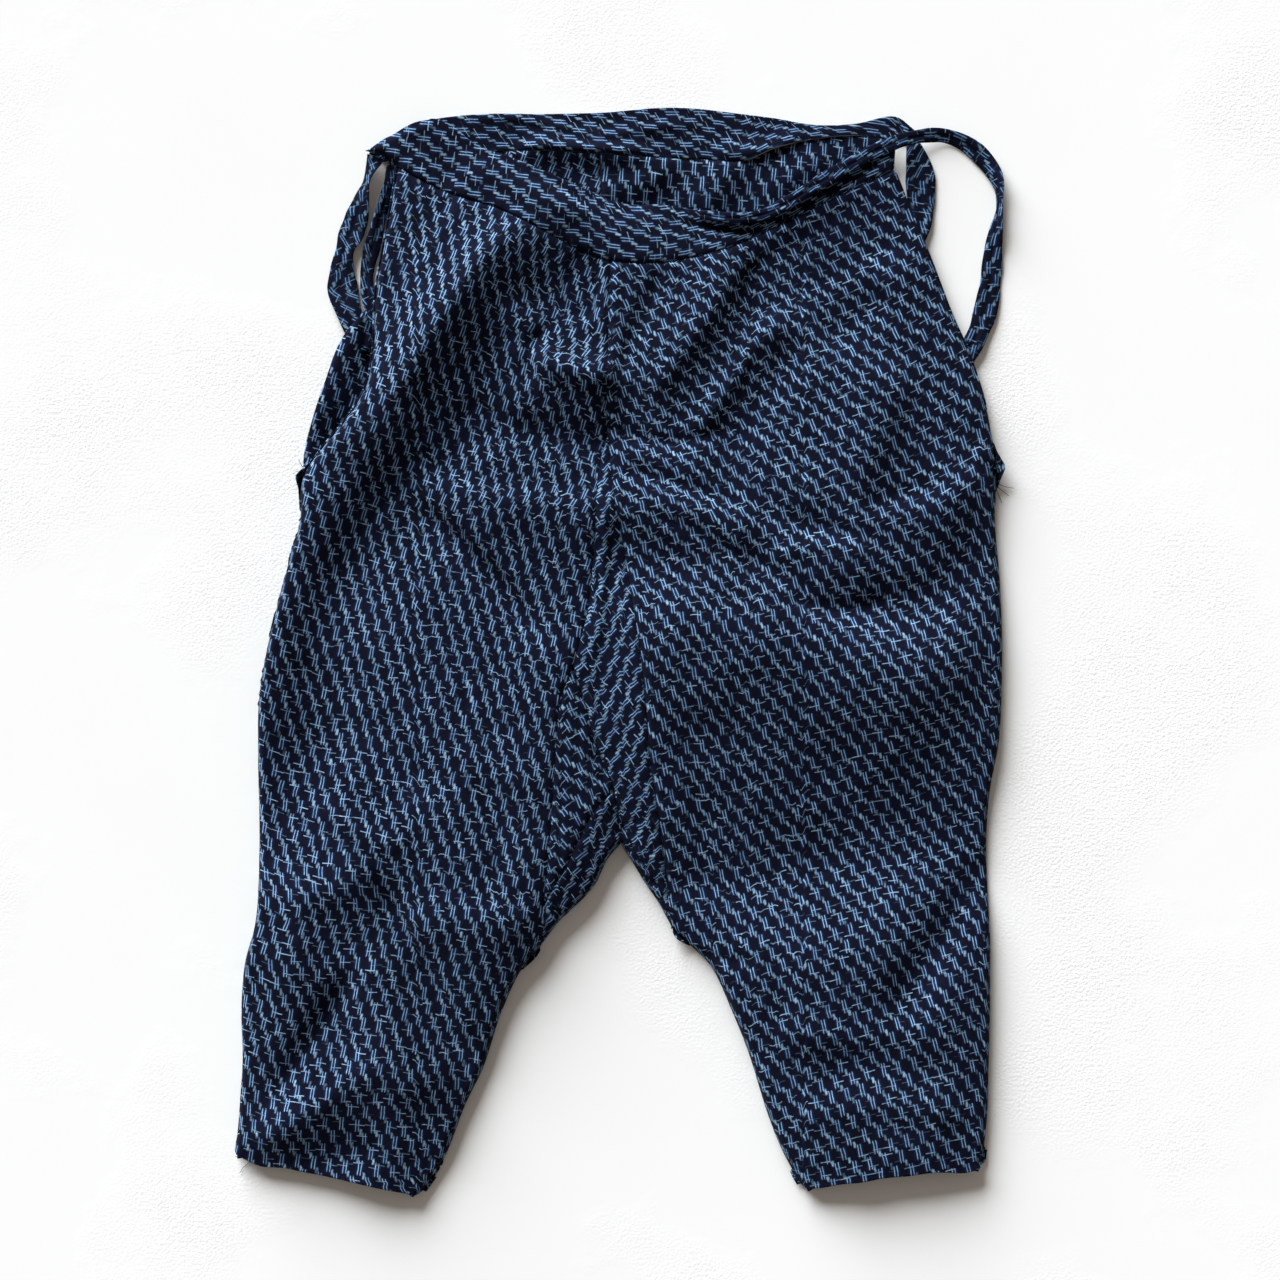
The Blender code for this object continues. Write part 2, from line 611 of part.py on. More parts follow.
def back_gusset(name, first, second, outline, seam, ends, colour):
    """A back gusset: flat, then turned up at the crotch and rolled to the front seam."""
    flat = gusset_plan(first, second, outline)
    edge, inside = flat[-1], flat[-2]
    square = np.linalg.norm(inset(edge, inside, 1.0) - edge, axis=1)
    back = inside - edge
    slant = np.abs(np.sum(back * (inset(edge, inside, 1.0) - edge), axis=1)) / square
    back = back / slant[:, None]
    bend = TURN * (1 - np.sqrt(0.5))

    shares = np.tile(STRIP_SHARES, (GUSSET_COLUMNS, 1))
    even = np.linspace(0, 1, GUSSET_COLUMNS)
    top, bottom = (at_shares(end, STRIP_SHARES) for end in ends)
    strip = patch(at_shares(outline, even), at_shares(seam, even), shares, top, bottom)
    strip[0] = inset(strip[0], strip[1], CORNER_GAP)
    strip[-1] = inset(strip[-1], strip[-2], CORNER_GAP)
    strip[:, -1] = inset(strip[:, -1], strip[:, -2], SEAM_GAP / 2)
    strip = strip[:, 1:].transpose(1, 0, 2)
    rolled = np.dstack([strip, front_height(strip[..., 0], strip[..., 1])])
    under = rolled + inward(strip[..., 0], strip[..., 1], CLOTH)
    under[..., 2] = np.maximum(under[..., 2], SEWN_EDGE)

    outer = [raised(row, 0.0) for row in [*flat[:-1], edge + TURN * back]]
    outer += [raised(edge + bend * back, bend), raised(edge, SEWN_EDGE)]
    inner = [raised(row, CLOTH) for row in [*flat[:-1], edge + TURN * back]]
    inner += [raised(edge + (CLOTH + TURN) / 2 * back, (CLOTH + SEWN_EDGE) / 2)]
    inner += [raised(edge + CLOTH * back, SEWN_EDGE)]
    wall(name, np.concatenate([outer, rolled]), np.concatenate([inner, under]), colour)


def band_plan(top, seam, stations):
    """Plan of a waistband from its lower seam to its top edge."""
    shares = np.tile(BAND_SHARES, (len(stations), 1))
    grid = patch(through(seam, stations), through(top, stations), shares)
    grid[:, 0] = inset(grid[:, 0], grid[:, 1], SEAM_GAP / 2)
    return grid


def tie(name, table, colour):
    """A flat tie: a narrow section carried along its middle line."""
    line = columns(table, "x", "y")
    stations = even_stations(line, TIE_STEP)
    rows = np.arange(len(table))
    middle = through(line, stations)
    width, tilt = (through(columns(table, "width", "tilt"), stations)).T
    run = np.gradient(middle, axis=0)
    run /= np.linalg.norm(run, axis=1, keepdims=True)
    side = np.stack([-run[:, 1], run[:, 0], np.zeros(len(run))], axis=1)

    def on_band(points, sideways, half):
        spread = [points + sideways[:, :2] * half[:, None] * share for share in (-1, 0, 1)]
        heights = [front_height(spot[:, 0], spot[:, 1]) for spot in spread]
        return np.max(heights, axis=0) + BAND_RISE + SEAM_GAP + TIE_CLOTH / 2

    given = np.array([row.height for row in table], float)
    last = int(np.sum(given == 0))
    lying = on_band(middle, side, width / 2)
    given[:last] = np.interp(rows[:last], stations, lying)
    height = np.interp(stations, rows, given)
    height = np.where(stations < last, np.maximum(height, lying), height)
    lean = np.radians(tilt)
    height = np.maximum(height, width / 2 * np.abs(np.sin(lean)) + TIE_CLOTH / 2 * np.cos(lean) + 0.02)
    centre = np.column_stack([middle, height])
    forward = np.gradient(centre, axis=0)
    forward /= np.linalg.norm(forward, axis=1, keepdims=True)
    up = np.cross(forward, side)
    flat = np.cos(lean)[:, None] * side + np.sin(lean)[:, None] * up
    upright = np.cross(forward, flat)
    rings = [
        centre + flat * (width / 2 * across)[:, None] + upright * TIE_CLOTH / 2 * above
        for across, above in TIE_SECTION
    ]
    points = np.stack(rings, axis=1)
    count = len(TIE_SECTION)
    faces = [tuple(range(count))[::-1]]
    for ring in range(len(points) - 1):
        for corner in range(count):
            a, b = ring * count + corner, ring * count + (corner + 1) % count
            faces.append((a, b, b + count, a + count))
    faces.append(tuple(range(len(points) * count - count, len(points) * count)))
    new_object(name, points.reshape(-1, 3), faces, colour)


def main():
    for old in list(bpy.data.objects):
        bpy.data.objects.remove(old)
    right_top = through(FRONT_SEAM, np.linspace(RIGHT_CORNER_ROW, CENTRE_ROW, 80))
    left_top = through(FRONT_SEAM, np.linspace(len(FRONT_SEAM) - 1, CENTRE_ROW, 80))
    front_leg("front_leg_right", RIGHT_SIDE, RIGHT_INNER, RIGHT_INSEAM, right_top, INDIGO)
    front_leg("front_leg_left", LEFT_SIDE, LEFT_INNER, LEFT_INSEAM, left_top, INDIGO)
    band_rows = np.union1d(np.arange(len(BACK_SEAM)), (BACK_BODY_START_ROW, BACK_BODY_END_ROW))
    body = band_rows[(band_rows >= BACK_BODY_START_ROW) & (band_rows <= BACK_BODY_END_ROW)]
    right_rows, left_rows = body[body <= BACK_CENTRE_ROW], body[body >= BACK_CENTRE_ROW][::-1]
    back_leg("back_leg_right", RIGHT_LEG, RIGHT_SIDE, RIGHT_INNER, RIGHT_INSEAM, right_rows, INDIGO)
    back_leg("back_leg_left", LEFT_LEG, LEFT_SIDE, LEFT_INNER, LEFT_INSEAM, left_rows, INDIGO)

    right_seam = columns(RIGHT_CROTCH, "seam_x", "seam_y")
    right_seam[0] = seam_edge(RIGHT_INNER, [RIGHT_STRIP_ROW])[0]
    right_seam[-1] = through(LINE, [LINE_STRIP_ROW])[0]
    left_seam = columns(LEFT_CROTCH, "seam_x", "seam_y")
    left_seam[0] = LINE[LINE_LEFT_ROW]
    left_seam[-1] = seam_edge(LEFT_INNER, [LEFT_STRIP_ROW])[0]
    right_seam, left_seam = dense(right_seam), dense(left_seam)
    upper = seam_edge(RIGHT_INNER, half_rows(GUSSET_TOP, GUSSET_SPLIT))
    crotch = len(LINE) - 1

    first = np.vstack([upper, through(LINE, half_rows(0, LINE_LEFT_ROW))[1:]])
    second = seam_edge(LEFT_INNER, np.linspace(GUSSET_TOP, LEFT_STRIP_ROW, 120))
    second = at_shares(second, lengths(first) / lengths(first)[-1])
    front_gusset("front_gusset_left", first, second, left_seam, INDIGO)
    first = seam_edge(RIGHT_INNER, np.append(half_rows(GUSSET_SPLIT, LEFT_INSEAM), RIGHT_STRIP_ROW))
    second = through(LINE, np.append(half_rows(0, crotch - 2), LINE_STRIP_ROW))
    front_gusset("front_gusset_right", first, second, right_seam, INDIGO)

    first = np.vstack([upper, through(LINE, half_rows(0, crotch))[1:]])
    second = seam_edge(LEFT_INNER, np.linspace(GUSSET_TOP, LEFT_INSEAM, 120))
    second = at_shares(second, lengths(first) / lengths(first)[-1])
    ends = (
        through(LINE, np.linspace(crotch, LINE_LEFT_ROW, 20)),
        seam_edge(LEFT_INNER, np.linspace(LEFT_INSEAM, LEFT_STRIP_ROW, 20)),
    )
    back_gusset("back_gusset_left", first, second, LEFT_OUTLINE, left_seam, ends, INDIGO)
    middle = GUSSET_SPLIT + 1
    rows = np.union1d(half_rows(GUSSET_SPLIT, RIGHT_INSEAM), (middle + 0.25, middle + 0.75))
    first = seam_edge(RIGHT_INNER, rows)
    second = through(LINE, half_rows(0, crotch))
    ends = (
        seam_edge(RIGHT_INNER, np.linspace(RIGHT_INSEAM, RIGHT_STRIP_ROW, 20)),
        through(LINE, np.linspace(crotch, LINE_STRIP_ROW, 20)),
    )
    back_gusset("back_gusset_right", first, second, RIGHT_OUTLINE, right_seam, ends, INDIGO)

    plan = band_plan(FRONT_TOP, FRONT_SEAM, even_stations(FRONT_SEAM, BAND_STEP))
    front_wall("front_waistband", plan, BAND_INDIGO, BAND_CLOTH, BAND_RISE)
    flat_wall("back_waistband", band_plan(BACK_TOP_EDGE, BACK_SEAM, band_rows), BAND_INDIGO, BAND_CLOTH)
    tie("tie_front_right", TIE_FRONT_RIGHT, TIE_INDIGO)
    tie("tie_back_right", TIE_BACK_RIGHT, TIE_INDIGO)
    tie("tie_front_left", TIE_FRONT_LEFT, TIE_INDIGO)
    tie("tie_back_left", TIE_BACK_LEFT, TIE_INDIGO)


main()
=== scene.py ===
"""Child's monpe trousers in kasuri cotton, laid flat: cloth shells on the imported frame.

The frame has +X to the wearer's left, +Y up to the waist and +Z up from the
surface that the trousers lie on. Tables are in millimetres on the garment's own
plan; MIDDLE is where the frame's origin lies on that plan.
"""

import logging
import math
from dataclasses import dataclass
from enum import Enum
from typing import NamedTuple, Sequence

import bpy
import numpy as np
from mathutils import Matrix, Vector


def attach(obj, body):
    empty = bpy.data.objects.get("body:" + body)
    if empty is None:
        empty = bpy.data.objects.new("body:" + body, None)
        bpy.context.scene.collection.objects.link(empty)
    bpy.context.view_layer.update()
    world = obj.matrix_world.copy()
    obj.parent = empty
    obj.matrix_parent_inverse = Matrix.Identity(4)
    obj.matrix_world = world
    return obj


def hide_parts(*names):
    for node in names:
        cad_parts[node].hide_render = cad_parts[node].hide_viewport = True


Array = np.ndarray
Material = bpy.types.Material
Socket = bpy.types.NodeSocket
Tree = bpy.types.NodeTree

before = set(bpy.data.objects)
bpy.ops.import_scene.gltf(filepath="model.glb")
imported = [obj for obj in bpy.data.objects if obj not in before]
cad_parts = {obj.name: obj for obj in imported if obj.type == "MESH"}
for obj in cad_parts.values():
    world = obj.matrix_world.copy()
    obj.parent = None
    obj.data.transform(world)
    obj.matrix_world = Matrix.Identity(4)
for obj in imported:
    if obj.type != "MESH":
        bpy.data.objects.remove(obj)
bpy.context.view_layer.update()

# Metres in a millimetre, and the frame's origin on the plan
MM = 0.001
MIDDLE = (-0.68, 0.25, 0.0)
# The cloth's thickness, the gap at a seam, and the radius of a turned edge
CLOTH = 0.55
SEAM_GAP = 0.16
TURN_RADIUS = 0.68
# Heights of the front's outer face: from where its loft counts beside a sewn edge,
# to where it rolls down there, and where an open edge beside a slit lies
SEWN_EDGE = 1.5
SEWN_LOW = 0.7
SLIT_EDGE = 3.4
# The level of the slits' lower ends, and how far above it an edge opens
SLIT_END = 71.0
SLIT_FADE = 18.0
# The lowest that a front panel's cloth lies, and a tie's or the back band's
FRONT_FLOOR = 0.6
LOW_FLOOR = 0.02
# How far in from its edges a leg's points lie close, and how round its hem corners are
ROLL = 9.0
CORNER_SHARE = 0.7
# How far the back's edges lie inside the front's, a band's rise on the front,
# the least that the front stands above its edges, and a gusset's least width
BACK_TUCK = 0.4
BAND_RISE = 0.4
LEAST_LIFT = 1.4
APEX_WIDTH = 0.5
# The steepest slope and the step with which the cloth's length is added up, levels
# on the cut cloth, which is longer than the plan, and the name of its UV map
SLOPE_LIMIT = 5.0
ARC_STEP = 1.0
CLOTH_LEVELS = np.linspace(-240, 620, 431)
CLOTH_MAP = "cloth"
# Points worked on at once, points by which a curve is measured, cells of a noise
# table, and a length too small to count
CHUNK = 6000
CURVE_POINTS = 600
NOISE_CELLS = 64
TINY = 1e-12


class Loft(NamedTuple):
    """How far the front stands above its edges at one level."""

    level: float
    height: float


class Section(NamedTuple):
    """A row across a leg: its side edge, its inner edge and the back's overhang."""

    side_x: float
    side_y: float
    inner_x: float
    inner_y: float
    back_out: float = -BACK_TUCK


class Point(NamedTuple):
    """A point of a line on the plan."""

    x: float
    y: float


class Crotch(NamedTuple):
    """A point of the crotch's outline and the seam point inside it."""

    edge_x: float
    edge_y: float
    seam_x: float
    seam_y: float


class Band(NamedTuple):
    """A row across a waistband: its top edge and its lower seam."""

    top_x: float
    top_y: float
    seam_x: float
    seam_y: float


class Fold(NamedTuple):
    """A fold of the cloth: its rise, its width on the path's left and right, and its path."""

    rise: float
    left: float
    right: float
    path: tuple
    sharp: float = 2.0


class Tie(NamedTuple):
    """A point of a tie: place, width, height off the band (0 on the band), and tilt."""

    x: float
    y: float
    width: float
    height: float
    tilt: float = 0


class Strand(NamedTuple):
    """A loose thread end: its path on the plan, its free end's lift, and whether it lies on the floor."""

    path: tuple
    lift: float
    on_floor: bool


class Bulge(NamedTuple):
    """A place where an edge stands out: where along it, how far, and over what width."""

    place: float
    out: float
    width: float

    def at(self, along: Array) -> Array:
        """How far the edge stands out at places along it."""
        return self.out * np.exp(-(((along - self.place) / self.width) ** 2))


class Lean(NamedTuple):
    """The lean of the warp from upright, in degrees, to the photo's right, at one level."""

    level: float
    degrees: float


def rows_of(kind: type, table: tuple) -> tuple:
    """A table's rows, each made a row of the named kind."""
    return tuple(kind(*row) for row in table)


# How far the front stands above its edges, by level down the garment
LOFTS = rows_of(Loft, (
    (-230, 6.3), (-200, 7.4), (-150, 8.6), (-80, 8.8), (0, 7.8), (70, 6.2), (120, 5.2),
    (160, 4.8), (190, 3.8), (225, 2.6),
))

# Rows of a leg, from waistband to hem: its outer edge, its seam or inseam
# edge, and how far the back's outer edge stands past the front's
RIGHT_LEG = rows_of(Section, (
    (-92, 201, -4, 161.5, -1), (-96, 177, -5, 145, -3), (-101, 149, -5, 127, -2),
    (-102, 127, -5.5, 108, 13), (-105, 110, -5.5, 91, 17), (-113.5, 96, -9, 75.5, 13.5),
    (-125, 82, -10, 63, 6), (-132, 71, -10.5, 50), (-132.5, 54.5, -11.5, 36),
    (-137, 38, -13.5, 17), (-145.5, 4.5, -19.5, -5.5), (-149.5, -19.5, -25, -22),
    (-150, -44.5, -27, -48.5), (-149.5, -73.5, -29, -77.5), (-150, -100, -31, -98),
    (-151.5, -114, -33, -121.5), (-155.5, -129, -42, -133), (-157, -148, -50, -151),
    (-156.5, -168, -56.5, -171), (-157.5, -184, -64.5, -188), (-158.5, -197.5, -73, -209.5),
    (-160, -206.5, -83, -224.5),
))
LEFT_LEG = rows_of(Section, (
    (113, 199, -4, 161.5, -2), (122.5, 176, -5, 145, -5), (129.5, 158.5, -5, 127, -5),
    (136.5, 140, -5.5, 108, -5), (144, 123, -5.5, 91, -4), (150, 105, -3.5, 71, -4),
    (153, 91, -1.5, 58, -2), (155.5, 74, 0.5, 48), (155, 54.5, 3.5, 29.5), (157, 29.5, 7, 8),
    (158, 1, 9.5, -11.5), (157, -34, 12, -40.5), (153, -57, 15, -63), (151.5, -77.5, 18.5, -88),
    (152, -98, 21.5, -114.5), (153, -117, 29.5, -122), (153, -133, 38, -131),
    (153, -150, 45, -146), (152.5, -168, 53, -166), (152, -188, 60.5, -190),
    (151, -200.5, 67, -206.5), (149.5, -211, 75, -221),
))
# The rows of the tables where the gusset begins, where the line between its
# two pieces begins, where each inseam begins, and where each rolled edge ends
GUSSET_TOP = 4
GUSSET_SPLIT = 10
RIGHT_INSEAM = 15
LEFT_INSEAM = 14
RIGHT_STRIP_ROW = 14.25
LEFT_STRIP_ROW = 13.7
LINE_STRIP_ROW = 4.2
LINE_LEFT_ROW = 5

# The line between the two gusset pieces, down to the crotch
GUSSET_LINE = rows_of(Point, (
    (-19.5, -5.5), (-14, -22.5), (-11, -36.5), (-7, -46), (-3, -55), (-1, -67), (0, -79.5),
))
# The outline from each inseam to the crotch, and the seam inside it where the
# back gusset's rolled edge meets the front one
RIGHT_CROTCH = rows_of(Crotch, (
    (-33, -121.5, -32, -103.5), (-25, -111, -27.5, -97), (-20.5, -107, -22.5, -88.5),
    (-11, -97, -18, -79), (-5.5, -86, -10.5, -65), (0, -79.5, -2.7, -57.5),
))
LEFT_CROTCH = rows_of(Crotch, (
    (0, -79.5, -1, -67), (5.5, -88, 5, -80.5), (10, -95.5, 10.5, -89),
    (15.5, -103.5, 15.5, -97), (21.5, -114.5, 20.3, -106.5),
))

# Waistbands, from the wearer's right to the left: top edge and lower seam
FRONT_BAND = rows_of(Band, (
    (-105, 207, -97, 204.5), (-94.5, 213.5, -88, 198), (-80, 219.5, -75.5, 191.5),
    (-69.5, 216.5, -63.5, 187), (-59, 208.5, -53, 184), (-45, 203.5, -40.5, 178),
    (-31, 198, -28.5, 172), (-16.5, 191.5, -14.5, 165), (0, 185, -4, 161.5),
    (16.5, 184, 14, 160.5), (33, 181.5, 30.5, 163), (49.5, 180, 45, 167),
    (63.5, 183.5, 60, 173.5), (78, 193, 76.5, 181.5), (92.5, 202, 93, 190),
    (106, 210, 106, 196), (114, 213, 113, 199.5),
))
CENTRE_ROW = 8
RIGHT_CORNER_ROW = 0.55
BACK_BAND = rows_of(Band, (
    (-104, 206.5, -97.5, 203), (-92.5, 214, -90, 205), (-78.5, 220, -77.5, 207),
    (-56.5, 222.5, -57.5, 207.5), (-33, 222.5, -33, 207.5), (-8.5, 223, -8.5, 206),
    (16.5, 225, 19, 204.5), (33, 224.5, 33.5, 204), (49.5, 222.5, 50, 203),
    (65, 220.5, 63.5, 208.5), (80.5, 218, 78, 212), (97, 218.5, 95.5, 214),
    (113, 221.5, 111, 212.5), (121.5, 216, 118, 210.5),
))
BACK_CENTRE_ROW = 5
BACK_BODY_END_ROW = 11.9
BACK_BODY_START_ROW = 0.9

# Folds of the front: a rise, its width on the path's left and right, and the path
FOLDS = rows_of(Fold, (
    # The long fold from the band's middle to the right side, and its valley
    (4.8, 17, 15, (
        (-8, 188), (-29, 177), (-50, 166), (-69, 148), (-88, 122), (-107, 96),
        (-123, 73), (-134, 47), (-143, 11), (-150, -40), (-152, -90),
    )),
    (1.9, 36, 8, ((-20, 182), (-50, 166), (-69, 148), (-88, 122), (-107, 96), (-123, 73))),
    (-2.8, 9, 18, ((2, 172), (-24, 146), (-48, 112), (-72, 80), (-92, 60))),
    (-4.2, 20, 14, ((-66, 90), (-96, 56), (-114, 32), (-126, 2), (-132, -36), (-136, -84))),
    # The bulge and the cross folds beside the centre seam
    (3.8, 9, 9, ((-40, 148), (-38, 134), (-26, 119), (2, 112))),
    (2.8, 6, 20, ((-56, 124), (-28, 117), (8, 110))),
    (-2.6, 8, 8, ((-76, 96), (-42, 91), (-19, 87), (8, 82))),
    (2.7, 7, 17, ((-92, 72), (-55, 62), (-29, 60), (4, 58))),
    (-3.0, 3.5, 6, ((-88, 66), (-68, 47), (-47, 26), (-28, -2))),
    # Pleats under the band
    (-1.8, 5, 5, ((-14, 168), (-14, 134))),
    (2.7, 6, 11, ((56, 170), (34, 136), (8, 100))),
    (-1.0, 6, 6, ((64, 152), (44, 120), (20, 88))),
    (1.7, 6, 8, ((68, 144), (50, 117), (28, 88))),
    (-1.3, 7, 7, ((78, 134), (58, 106), (40, 80))),
    (-2.0, 13, 9, ((80, 128), (96, 137), (112, 150))),
    (-4.2, 11, 13, ((40, 142), (78, 162), (104, 177), (128, 190))),
    (2.8, 11, 30, ((116, 126), (103, 90), (86, 46))),
    # The cross ridges of the left leg and its side folds
    (1.3, 5, 6, ((-10, 86), (14, 80), (38, 72))),
    (2.4, 12, 15, ((-10, 66), (24, 58), (48, 48), (90, 35), (130, 27))),
    (2.6, 20, 12, ((-18, 66), (20, 56), (62, 44))),
    (2.2, 8, 13, ((80, 48), (131, 60), (160, 82))),
    (-2.2, 11, 12, ((70, 20), (110, 20), (134, 26), (154, 52))),
    (6.0, 22, 44, ((-12, 12), (48, 9), (84, 1), (150, -20))),
    (-5.4, 46, 24, ((2, -98), (58, -92), (100, -84), (166, -68)), 1.25),
    (-0.7, 10, 10, ((82, -28), (100, -56), (114, -86))),
    (0.8, 12, 14, ((112, -28), (136, -12), (162, 10))),
    (1.2, 14, 18, ((28, -136), (76, -126), (126, -110))),
    (-2.8, 9, 9, ((158, -78), (134, -116), (106, -158))),
    (-0.9, 9, 9, ((58, -176), (92, -166), (124, -158))),
    # Folds of the right leg
    (1.6, 22, 40, ((-34, 30), (-34, -20), (-46, -64), (-62, -120))),
    (-1.2, 12, 12, ((-112, 0), (-98, -34), (-78, -66))),
    (3.4, 15, 32, ((-180, -120), (-142, -105), (-98, -97))),
    (0.8, 8, 7, ((0, -56), (-12, -78), (-27, -98), (-44, -118), (-64, -154), (-84, -214))),
    (1.9, 9, 16, ((-98, -112), (-62, -111), (-26, -112))),
    (-3.2, 5, 6, ((-104, -86), (-82, -130), (-58, -180))),
    (-2.0, 5, 6, ((-106, -126), (-126, -158), (-148, -190))),
    (2.4, 9, 17, ((-108, -116), (-95, -150), (-80, -194))),
    (-1.6, 12, 16, ((-120, -96), (-111, -134), (-122, -172))),
    (-2.4, 10, 9, ((-160, -216), (-124, -210), (-90, -202))),
    (1.9, 8, 7, ((-94, -166), (-124, -186), (-158, -206))),
    (-0.7, 7, 7, ((-92, -178), (-80, -200), (-74, -226))),
))

# Smaller folds, which the solids leave out
FINE_FOLDS = rows_of(Fold, (
    (-1.2, 4, 4, ((20, 162), (6, 131), (-4, 104))),
    (-3.8, 4, 4, ((-17, 158), (-16, 148), (-17, 137))),
    (-1.3, 3, 2.6, ((-8, 94), (6, 88), (20, 86.5), (34, 88.5), (48, 95))),
    (-1.2, 3, 4, ((-2, 77), (26, 68), (52, 59.5))),
    (-0.8, 3, 4, ((64, 58), (80, 52), (99, 49.5))),
    (0.6, 4, 4, ((0, 70), (24, 62), (50, 53), (76, 45))),
    (-0.9, 3, 3, ((8, 57), (30, 50), (48, 40))),
    (-0.9, 3, 4, ((34, 46), (56, 37), (74, 27), (84, 22))),
    (-0.9, 3.5, 3, ((62, 132), (51, 111), (41, 92))),
    (1.2, 8, 4, ((-34, 182), (-52, 168), (-64, 150), (-77, 130), (-92, 107), (-108, 88))),
    (-1.3, 3, 3, ((54, 161), (57, 152), (52, 140))),
    (-1.4, 3, 3, ((-30, 134), (-37, 124), (-38, 108))),
    (-1.5, 3, 4.5, ((62, 24), (80, 19), (96, 18), (114, 22))),
    (1.0, 3, 4, ((60, 40), (84, 44), (108, 40))),
    (-0.7, 4, 4, ((99, 58), (118, 65), (136, 70))),
    (0.8, 6, 6, ((54, -152), (90, -160), (140, -152))),
    (-0.8, 6, 6, ((70, -182), (100, -172), (144, -174))),
    (0.8, 6, 6, ((64, -196), (104, -187), (150, -192))),
    (-0.9, 3, 3, ((26, -125), (42, -127), (58, -128))),
    (-1.6, 3, 3, ((-14, -34), (-4, -58), (6, -86))),
    (0.9, 2.5, 2.5, ((-6, 66), (-7, 30), (-12, -8))),
    (2.2, 11, 7, ((-110, 216), (-107, 190), (-103, 146))),
    (-0.9, 6, 6, ((-60, -50), (-50, -72), (-52, -100))),
    (0.9, 6, 6, ((26, 32), (56, 26), (78, 12))),
    (-0.9, 5, 5, ((-138, 0), (-120, -20), (-110, -50))),
    (0.8, 4, 4, ((-128, -60), (-104, -76), (-84, -80))),
    (-0.8, 4, 4, ((-80, 20), (-66, -4), (-62, -30))),
    (0.4, 4, 4, ((44, -60), (70, -66), (96, -60))),
    (-0.7, 4, 4, ((60, -120), (66, -140), (62, -160))),
    (-0.8, 4, 4, ((104, 176), (124, 160), (134, 138))),
    (0.8, 4, 4, ((-60, 190), (-76, 170), (-84, 150))),
    # The turned hem inside the left slit's edge, and the pinch at its end
    (-0.8, 1.6, 1.6, ((128, 166), (141, 135), (150, 104))),
    (1.2, 4, 4, ((146, 84), (152, 80), (157, 77))),
    # The front band's folded top, the dark line under it, and its soft dents
    (1.1, 2, 1.6, ((26, 181), (44, 179), (58, 180), (82, 195), (109, 212))),
    (-2.4, 1.6, 1.8, ((24, 177), (44, 175), (60, 176.5), (84, 190), (114, 207))),
    (-1.8, 7, 7, ((-30, 200), (-8, 190), (16, 184))),
    (-2.6, 4, 4, ((-37, 202), (-24, 195), (-9, 188))),
    (-1.8, 6, 6, ((44, 200), (54, 186), (64, 174))),
    (1.2, 6, 6, ((-66, 202), (-40, 190), (-14, 178))),
    (-1.2, 4, 4, ((-86, 216), (-76, 204), (-68, 190))),
))
# Soft creases of the back, which lift it from the surface
BACK_FOLDS = rows_of(Fold, (
    (0.9, 4, 4, ((-120, -30), (-80, -60), (-44, -92))),
    (0.8, 5, 4, ((-130, -120), (-100, -140), (-76, -178))),
    (0.8, 4, 5, ((30, -20), (76, -40), (130, -46))),
    (0.9, 5, 5, ((60, -110), (96, -128), (134, -122))),
    (0.7, 4, 4, ((-70, 150), (-56, 110), (-64, 60))),
    (0.8, 4, 4, ((40, 160), (62, 120), (100, 84))),
    (0.7, 3, 3, ((-30, 180), (-34, 140), (-20, 96))),
    # Inside the waist
    (2.6, 5, 6, ((-26, 188), (-6, 191), (10, 196), (26, 203))),
    (3.3, 3, 4, ((-52, 209.5), (-30, 208.2), (-12, 206.6), (16, 205), (26, 204.6))),
    # The right side's strip beside the slit, raised at its outer edge
    (4.6, 10, 3, ((-101, 158), (-107, 140), (-116, 125), (-123, 109), (-128, 95), (-132, 80))),
    (2.6, 9, 6, ((30, 178), (41, 193), (52, 208))),
    (1.8, 6, 5, ((58, 186), (72, 198), (92, 208))),
    (1.2, 4, 4, ((4, 184), (14, 196), (28, 203))),
))
BACK_BAND_FOLDS = rows_of(Fold, (
    (0.9, 2.4, 1.6, ((-70, 219), (-43.5, 220.7), (-8.5, 214.1), (8, 216.1), (40, 220))),
    (-0.5, 2, 2, ((-60, 214), (-30, 212), (10, 211), (40, 214))),
    (0.8, 3, 3, ((60, 213), (84, 214), (106, 218))),
    (4.2, 5, 2.4, ((-46, 210), (-12, 208), (16, 206.5))),
    (2.0, 4, 3, ((36, 207.5), (54, 206.5), (76, 213))),
))

# Ties: points of the middle line, width, height of the middle where it is off
# the band (0 where it lies on the band), and sideways tilt
TIE_FRONT_RIGHT = rows_of(Tie, (
    (-101.3, 204.8, 8.0, 2.5), (-103.4, 199.0, 6.0, 1.7, 40), (-105.2, 193.9, 6.0, 1.9, 55),
    (-107.3, 186.5, 8.6, 1.6, 25), (-108.9, 180.7, 10.8, 1.2, 8), (-110.8, 174.9, 10.4, 1.0, 4),
    (-113.9, 167.0, 8.6, 1.2, 14), (-115.3, 158.4, 10.8, 1.0, 4), (-114.9, 149.7, 11.8, 1.1),
    (-113.0, 142.7, 10.8, 2.2), (-110.8, 136.1, 9.8, 2.35), (-107.8, 130.0, 8.8, 2.35),
    (-105.0, 124.8, 8.0, 2.35),
))
TIE_BACK_RIGHT = rows_of(Tie, (
    (-94.7, 202.4, 4.6, 0.9), (-95.3, 194.7, 5.2, 1.3, -25), (-97.0, 188.5, 5.6, 1.4, -25),
    (-99.3, 181.1, 6.0, 1.4, -25), (-101.4, 172.8, 6.4, 1.4, -20),
    (-103.7, 164.2, 6.8, 1.2, -12), (-105.0, 157.6, 6.0, 1.1, -8), (-105.0, 150.6, 5.4, 1.8),
    (-104.0, 144.6, 5.2, 2.3), (-101.6, 137.8, 5.0, 2.35), (-99.0, 132.0, 5.0, 2.35),
))
